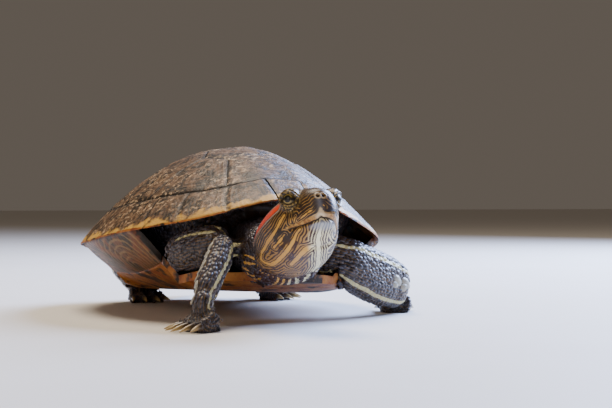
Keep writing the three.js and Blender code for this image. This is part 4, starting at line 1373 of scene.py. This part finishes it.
def scale_tree():
    """Sets a scale on every root point, turned to its lie, and gives it its bake patch."""
    tree = bpy.data.node_groups.new("scales on roots", "GeometryNodeTree")
    face = tree.interface
    face.new_socket("Roots", in_out="INPUT", socket_type="NodeSocketGeometry")
    face.new_socket("Scale shape", in_out="INPUT", socket_type="NodeSocketObject")
    face.new_socket("Bake patch", in_out="INPUT", socket_type="NodeSocketFloat").default_value = 0.003
    face.new_socket("Finish", in_out="INPUT", socket_type="NodeSocketMaterial")
    face.new_socket("Scales", in_out="OUTPUT", socket_type="NodeSocketGeometry")
    given = add(tree, "NodeGroupInput").node.outputs
    out, lie, size, patch, root = (
        add(tree, "GeometryNodeInputNamedAttribute", {"Name": name}, data_type="FLOAT_VECTOR")
        for name in ("out", "lie", "size", "patch", "root")
    )
    shape = add(tree, "GeometryNodeObjectInfo", {"Object": given["Scale shape"]}, out="Geometry")
    stand = add(tree, "FunctionNodeAlignRotationToVector", {"Vector": out}, axis="Z")
    turned = add(tree, "FunctionNodeAlignRotationToVector", {"Rotation": stand, "Vector": lie},
                 axis="X", pivot_axis="Z")
    placed = add(tree, "GeometryNodeInstanceOnPoints", {
        "Points": given["Roots"], "Instance": shape, "Rotation": turned, "Scale": size,
    })
    real = add(tree, "GeometryNodeRealizeInstances", {"Geometry": placed})
    small = add(tree, "ShaderNodeVectorMath", {0: patch, "Scale": given["Bake patch"]}, operation="SCALE")
    place = add(tree, "ShaderNodeVectorMath", {0: root, 1: small}, operation="ADD")
    settings = {"data_type": "FLOAT2", "domain": "CORNER"}
    stored = add(tree, "GeometryNodeStoreNamedAttribute", {"Geometry": real, "Name": "OFBake"}, **settings)
    tree.links.new(place, stored.node.inputs["Value"])
    finish = add(tree, "GeometryNodeSetMaterial", {"Geometry": stored, "Material": given["Finish"]})
    add(tree, "NodeGroupOutput", {0: finish})
    return tree


def pick_roots(points, spacing, order):
    """Indices of points kept no closer together than their spacing in mm."""
    grid, kept = {}, []
    around = list(itertools.product((-1, 0, 1), repeat=3))
    for i in order:
        x, y, z = (int(c // ROOT_CELL) for c in points[i])
        near = (j for dx, dy, dz in around for j in grid.get((x + dx, y + dy, z + dz), ()))
        if all(math.dist(points[i], points[j]) >= max(spacing[i], spacing[j]) for j in near):
            grid.setdefault((x, y, z), []).append(i)
            kept.append(i)
    return np.array(kept)


def scale_sizes():
    """For each point of the skin the width in mm of a scale there, 0 where there is none, how
    far it rises as a share of the width, and 1 where it belongs to a row of large ones."""
    settings = bpy.context.scene.turtle_scales
    points, which, along, turn = (SKIN_STATE[key] for key in ("points", "which", "along", "turn"))
    head, level = to_head(points), untilt(points)
    share = turn_and_share(level[:, 0], level[:, 1])[1]
    seen = (share > 0.66) | (level[:, 2] < plastron_low(level[:, 0], level[:, 1]))
    foot = ease(11, 6, points[:, 2])
    size = np.where(which < 4, settings.leg * (1 - 0.35 * foot), 0)
    size = np.where(which == 4, settings.leg * (1 - 0.45 * along), size)
    on_neck = ease(24, 34, head[:, 1])
    throat = settings.face + (settings.neck - settings.face) * on_neck
    size = np.where(which == 5, ease(9, 11, head[:, 1]) * throat, size)
    size = np.where(seen & (points[:, 2] > 0.25), size, 0)
    rise = settings.rise * np.where(which == 5, 0.35 + 0.4 * on_neck, 1)
    big = np.zeros(len(points))
    for n, leg in enumerate(LEGS.values()):
        if leg["big"]:
            at, first, last = leg["big"]
            ring = (turn - at + math.pi) % (2 * math.pi) - math.pi
            row = (which == n) & (np.abs(ring) < 0.28) & (along > first) & (along < last)
            big = np.where(row, 1.0, big)
    return np.where(big > 0, settings.large, size), rise, big


def grow_scales(name, tree, given, points, attributes):
    """A mesh of scales on root points, made by the scale tree from its given inputs."""
    base = bpy.data.meshes.new(name + "_roots")
    base.from_pydata(((points + SHIFT) * MM).tolist(), [], [])
    store(base, attributes)
    carrier = set_out(name + "_roots", base)
    modifier = carrier.modifiers.new("scales", "NODES")
    modifier.node_group = tree
    for socket in tree.interface.items_tree:
        if socket.name in given:
            modifier[socket.identifier] = given[socket.name]
    made = evaluated_copy(carrier)
    bpy.data.objects.remove(carrier)
    made.name = name
    return made


def build_scales():
    """Scales over legs, tail and neck, with the markings of the skin."""
    settings = bpy.context.scene.turtle_scales
    keys = ("points", "normals", "drawn", "which", "along", "turn", "lie")
    points, normals, drawn, which, along, turn, lie = (SKIN_STATE[key] for key in keys)
    size, rise, big = scale_sizes()
    spacing = np.where(size > 0.35, size * 0.86, 0)
    order = np.random.default_rng(settings.seed).permutation(np.flatnonzero(spacing > 0))
    order = order[np.argsort(-big[order], kind="stable")]
    kept = pick_roots(points.tolist(), spacing.tolist(), order.tolist())
    finish = skin_material("reptile scale, keratin over skin", True)
    rng = np.random.default_rng(settings.seed + 1)
    vary = rng.uniform(0.9, 1.15, len(points))
    uv = unwrap_place(which, along, turn)
    tree = scale_tree()
    given = {"Scale shape": scale_template(), "Bake patch": 0.003, "Finish": finish}
    groups = {"scales_front_legs": (0, 1), "scales_hind_legs_and_tail": (2, 3, 4), "scales_neck": (5,)}
    for name, limbs in groups.items():
        chosen = kept[np.isin(which[kept], limbs)]
        width = size[chosen] * vary[chosen] * MM * 1.18
        made = grow_scales(name, tree, given, points[chosen], {
            "out": normals[chosen],
            "lie": lie[chosen] + 0.25 * rng.normal(size=(len(chosen), 3)),
            "size": np.column_stack([width * 1.1, width, width * rise[chosen]]),
            "root": np.column_stack([uv[chosen], np.zeros(len(chosen))]),
            "big": big[chosen],
        })
        place = points_of(made)
        place[:, 2] = np.maximum(place[:, 2], 0.02)
        move_points(made, place)
        painted = place - np.repeat(drawn[chosen], len(place) // len(chosen), axis=0)
        store(made, skin_attributes(painted)[0])
        piece = set_out(name, made)
        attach(piece, "root")
    bpy.data.objects.remove(given["Scale shape"])


# ---- eyes and claws ----


def build_eyes():
    """Both eyeballs, bulging a little at the cornea."""
    finish = eye_material()
    up = unit(np.array([0, 0, 1]) @ HEAD_TURN)
    for name, side in (("eye_left", 1), ("eye_right", -1)):
        gaze = unit(GAZE * [side, 1, 1])
        level = unit(np.cross(gaze, up))
        rise = np.cross(level, gaze)
        t = np.arange(48) * 2 * math.pi / 48
        rings, polar, height = [], [], []
        for angle in np.linspace(0.03, math.pi - 0.03, 40):
            bulge = 0.22 * math.exp(-((angle / 0.5) ** 2))
            c, s = math.cos(angle), math.sin(angle)
            directions = c * gaze + s * (np.outer(np.cos(t), level) + np.outer(np.sin(t), rise))
            rings.append(from_head(directions * (EYE_RADIUS - 0.2 + bulge) + [side * EYE_SIDE, 0, 0.05]))
            polar += [angle] * len(t)
            height += (s * np.sin(t)).tolist()
        points, faces = loft(rings)
        polar += [0, math.pi]
        height += [0, 0]
        piece = make_piece(name + "_ball", points, faces, [finish], {"polar": polar, "height": height})
        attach(piece, "root")
        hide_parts(name)


def build_claws():
    """A curved, tapered claw on every toe."""
    finish = claw_material()
    for leg_name, leg in LEGS.items():
        for i, (root, direction, length) in enumerate(toes_and_claws(leg)[1]):
            side = unit(np.cross(direction, [0, 0, 1]))
            up = np.cross(side, direction)
            t = np.arange(14) * 2 * math.pi / 14
            rings, lengths, turns = [], [], []
            for u in np.linspace(0, 1, 16):
                middle = root + direction * length * u - up * length * 0.16 * u * u
                r = 1.25 * (1 - u) ** 0.75 + 0.1
                ring = middle + np.outer(0.8 * r * np.cos(t), side) + np.outer(r * np.sin(t), up)
                ring[:, 2] = np.maximum(ring[:, 2], 0.1)
                rings.append(ring)
                lengths += [u] * len(t)
                turns += np.cos(t).tolist()
            points, faces = loft(rings)
            name = f"{leg_name}_claw_{i + 1}"
            piece = make_piece(name + "_horn", points, faces, [finish],
                               {"length": lengths + [0, 1], "turn": turns + [0, 0]})
            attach(piece, "root")
            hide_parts(name)


# ---- stage ----


# The camera's place in mm of the turtle's frame, its turn from facing +Y, and how far down the
# frame is slid, in pixels of a frame 612 wide.
CAMERA_PLACE = np.array([-192, -601, 48])
CAMERA_TURN = math.radians(-21)
FRAME_SLIDE, FRAME_WIDTH = 4, 612
# Half the floor's side, the places of the lights and the middle they aim at, in metres.
FLOOR_HALF = 6.0
LIGHT_PLACES = {"window": (0.75, 0.3, 0.55), "overhead": (-0.05, 0.25, 1.0), "fill": (-0.9, -0.8, 0.5)}
LIGHT_WIDTHS = {"window": 0.7, "overhead": 0.6, "fill": 0.8}
LIGHT_TINTS = {"window": "#b4ccff", "overhead": "#fff0dc", "fill": "#ffedd8"}
LIT_MIDDLE = Vector((0, -0.03, 0.03))


def build_stage():
    """Floor, camera, a cool window, a light above, a warm fill and even light all round."""
    settings = bpy.context.scene.turtle_studio
    scene = bpy.context.scene
    mesh = bpy.data.meshes.new("floor")
    corners = [(x * FLOOR_HALF, y * FLOOR_HALF, 0) for x, y in ((-1, -1), (1, -1), (1, 1), (-1, 1))]
    mesh.from_pydata(corners, [], [(0, 1, 2, 3)])
    mesh.materials.append(floor_material())
    floor = set_out("floor", mesh)
    camera = bpy.data.cameras.new("camera")
    camera.lens = settings.lens
    camera.sensor_width = 36
    camera.shift_y = -FRAME_SLIDE / FRAME_WIDTH
    camera.clip_start = 0.01
    eye = set_out("camera", camera)
    eye.location = Vector((CAMERA_PLACE + SHIFT) * MM)
    eye.rotation_euler = (math.pi / 2, 0, CAMERA_TURN)
    scene.camera = eye
    for name, place in LIGHT_PLACES.items():
        light = bpy.data.lights.new(name, "AREA")
        light.shape = "DISK"
        light.size = LIGHT_WIDTHS[name]
        light.energy = getattr(settings, name)
        light.color = linear(LIGHT_TINTS[name])[:3]
        lamp = set_out(name, light)
        lamp.location = place
        lamp.rotation_euler = (LIT_MIDDLE - lamp.location).to_track_quat("-Z", "Y").to_euler()
    world = bpy.data.worlds.new("studio")
    world.use_nodes = True
    even = world.node_tree.nodes["Background"].inputs
    even["Color"].default_value = linear("#c4b5a6")
    even["Strength"].default_value = settings.world
    scene.world = world


# ---- add-on ----


def colour_setting(name, default, description):
    """A colour that a user may change, as an sRGB hex code."""
    return bpy.props.StringProperty(name=name, default=default, description=description)


def size_setting(name, default, description, unit="NONE"):
    """A size or strength that a user may change."""
    return bpy.props.FloatProperty(name=name, default=default, description=description, unit=unit)


class TurtleShell(bpy.types.PropertyGroup):
    """Sizes and colours of the shell."""

    horn: colour_setting("Horn", "#3a2616", "Ground colour of the carapace")
    horn_light: colour_setting("Light horn", "#6b5038", "Paler flecks of the carapace")
    blotch: colour_setting("Blotch", "#180e07", "Dark blotches of the carapace")
    # painted highlight: cream flecks of the carapace that stand in for glints of light
    highlight_fleck: colour_setting("Fleck", "#dcbb92", "Cream flecks of the carapace")
    ring: colour_setting("Ring", "#8a7252", "Growth rings of the carapace")
    seam: colour_setting("Seam", "#1a110a", "Seams between the plates")
    edge: colour_setting("Edge", "#c79a45", "Worn outer edge of the carapace")
    under: colour_setting("Underside", "#a86a22", "Ground colour of the underside")
    under_warm: colour_setting("Warm underside", "#8a4212", "Warmer areas of the underside")
    under_dark: colour_setting("Dark underside", "#23150b", "Smoky figures of the underside")
    under_arc: colour_setting("Arcs", "#8f7040", "Pale arcs of the bridges")
    bridge: colour_setting("Bridge", "#4d2d12", "Ground colour of the bridges")
    bridge_warm: colour_setting("Warm bridge", "#6b3410", "Warmer areas of the bridges")
    seam_depth: size_setting("Seam depth", 0.35, "Depth of the seams, in mm")
    ring_spacing: size_setting("Ring spacing", 1.7, "Spacing of the growth rings, in mm")


class TurtleSkin(bpy.types.PropertyGroup):
    """Sizes and colours of the skin."""

    ground: colour_setting("Ground", "#24160d", "Ground colour of head and neck")
    throat_ground: colour_setting("Throat ground", "#3a1c0e", "Ground colour of the throat")
    ground_light: colour_setting("Light ground", "#352214", "Paler ground of head and neck")
    limb_dark: colour_setting("Dark limb", "#1a1514", "Dark ground of legs and tail")
    limb_light: colour_setting("Light limb", "#342b2a", "Paler ground of legs and tail")
    line: colour_setting("Line", "#a0783a", "Thin lines of the cheeks")
    line_pale: colour_setting("Pale line", "#d8cca0", "Thin lines of the throat")
    stripe: colour_setting("Stripe", "#cf9a40", "Broad stripes of the cheeks")
    stripe_pale: colour_setting("Pale stripe", "#eee6bd", "Broad stripes of the throat")
    limb_stripe: colour_setting("Limb stripe", "#d3c88f", "Broad stripes of legs and tail")
    patch: colour_setting("Ear patch", "#cf3c12", "The red patch behind the eye")
    patch_edge: colour_setting("Patch edge", "#9b8476", "Pale line round the red patch")
    # painted sheen: this blue-grey of the front of the chin and under the nose stands in for reflected cool
    # light
    chin: colour_setting("Chin", "#8f949f", "Grey of the front of the chin")
    beak: colour_setting("Beak", "#8c5a22", "Horn of the upper jaw")
    beak_light: colour_setting("Light beak", "#bd8d44", "Paler horn of the upper jaw")
    beak_peak: colour_setting("Beak peak", "#d8c19a", "Palest horn, in the middle of the upper jaw")
    lid: colour_setting("Lid", "#94783a", "Gold mottling of the eyelids")
    lid_dark: colour_setting("Dark lid", "#23180b", "Ground of the eyelids")
    # partly the scales' own paler edge, partly a painted cool bluish sheen
    scale_edge_sheen: colour_setting("Scale edge", "#5f6377", "Edges of the scales")
    scale_big: colour_setting("Large scale", "#a39f92", "The large scales of the forelegs")
    line_pitch: size_setting("Line pitch", 1.2, "Spacing of the thin lines, in mm")
    voxel: size_setting("Voxel", 0.83, "Grain of the skin's mesh, in mm")


class TurtleScales(bpy.types.PropertyGroup):
    """Sizes of the scales."""

    leg: size_setting("Leg scale", 2.0, "Width of a leg scale, in mm")
    large: size_setting("Large scale", 3.0, "Width of a large scale, in mm")
    neck: size_setting("Neck scale", 1.1, "Width of a neck scale, in mm")
    face: size_setting("Face scale", 0.75, "Width of a scale of the face, in mm")
    rise: size_setting("Rise", 0.6, "How far a scale stands up")
    seed: bpy.props.IntProperty(name="Seed", default=7, description="Seed of the scales' scatter")


class TurtleStudio(bpy.types.PropertyGroup):
    """Camera and lights."""

    lens: size_setting("Lens", 85, "Focal length", "CAMERA")
    window: size_setting("Window", 56, "Power of the cool side light", "POWER")
    overhead: size_setting("Overhead", 15, "Power of the light above", "POWER")
    fill: size_setting("Fill", 4, "Power of the warm fill light", "POWER")
    world: size_setting("World", 0.22, "Strength of the even light")


class TURTLE_OT_carapace(bpy.types.Operator):
    """Builds the horny plates of the upper shell"""

    bl_idname = "turtle.carapace"
    bl_label = "Build carapace"

    def execute(self, context):
        build_carapace()
        return {"FINISHED"}


class TURTLE_OT_underside(bpy.types.Operator):
    """Builds the plastron and the bridges"""

    bl_idname = "turtle.underside"
    bl_label = "Build underside"

    def execute(self, context):
        build_underside()
        return {"FINISHED"}


class TURTLE_OT_skin(bpy.types.Operator):
    """Builds the one skin over head, neck, legs and tail"""

    bl_idname = "turtle.skin"
    bl_label = "Build skin"

    def execute(self, context):
        build_skin()
        return {"FINISHED"}


class TURTLE_OT_scales(bpy.types.Operator):
    """Lays the scales over the skin"""

    bl_idname = "turtle.scales"
    bl_label = "Build scales"

    def execute(self, context):
        if not SKIN_STATE:
            raise RuntimeError("build the skin before its scales")
        build_scales()
        return {"FINISHED"}


class TURTLE_OT_eyes(bpy.types.Operator):
    """Builds both eyes"""

    bl_idname = "turtle.eyes"
    bl_label = "Build eyes"

    def execute(self, context):
        build_eyes()
        return {"FINISHED"}


class TURTLE_OT_claws(bpy.types.Operator):
    """Builds the claws"""

    bl_idname = "turtle.claws"
    bl_label = "Build claws"

    def execute(self, context):
        build_claws()
        return {"FINISHED"}


class TURTLE_OT_stage(bpy.types.Operator):
    """Sets the floor, the lights and the camera"""

    bl_idname = "turtle.stage"
    bl_label = "Set stage"

    def execute(self, context):
        build_stage()
        return {"FINISHED"}


OPERATORS = [
    TURTLE_OT_stage, TURTLE_OT_carapace, TURTLE_OT_underside, TURTLE_OT_skin, TURTLE_OT_scales,
    TURTLE_OT_eyes, TURTLE_OT_claws,
]


class TURTLE_PT_build(bpy.types.Panel):
    """Lists the steps that build the turtle"""

    bl_idname = "TURTLE_PT_build"
    bl_label = "Turtle"
    bl_space_type = "VIEW_3D"
    bl_region_type = "UI"
    bl_category = "Turtle"

    def draw(self, context):
        for step in OPERATORS:
            self.layout.operator(step.bl_idname)


SETTINGS = {
    "turtle_shell": TurtleShell,
    "turtle_skin": TurtleSkin,
    "turtle_scales": TurtleScales,
    "turtle_studio": TurtleStudio,
}


def register():
    """Registers the settings, the steps and the panel."""
    for kind in (*SETTINGS.values(), *OPERATORS, TURTLE_PT_build):
        bpy.utils.register_class(kind)
    for name, kind in SETTINGS.items():
        setattr(bpy.types.Scene, name, bpy.props.PointerProperty(type=kind))


def unregister():
    """Takes back what register added."""
    for name in SETTINGS:
        delattr(bpy.types.Scene, name)
    for kind in (TURTLE_PT_build, *OPERATORS[::-1], *SETTINGS.values()):
        bpy.utils.unregister_class(kind)


def main():
    """Builds the turtle step by step."""
    register()
    bpy.ops.turtle.stage()
    bpy.ops.turtle.carapace()
    bpy.ops.turtle.underside()
    bpy.ops.turtle.skin()
    bpy.ops.turtle.scales()
    bpy.ops.turtle.eyes()
    bpy.ops.turtle.claws()


if __name__ == "__main__":
    main()
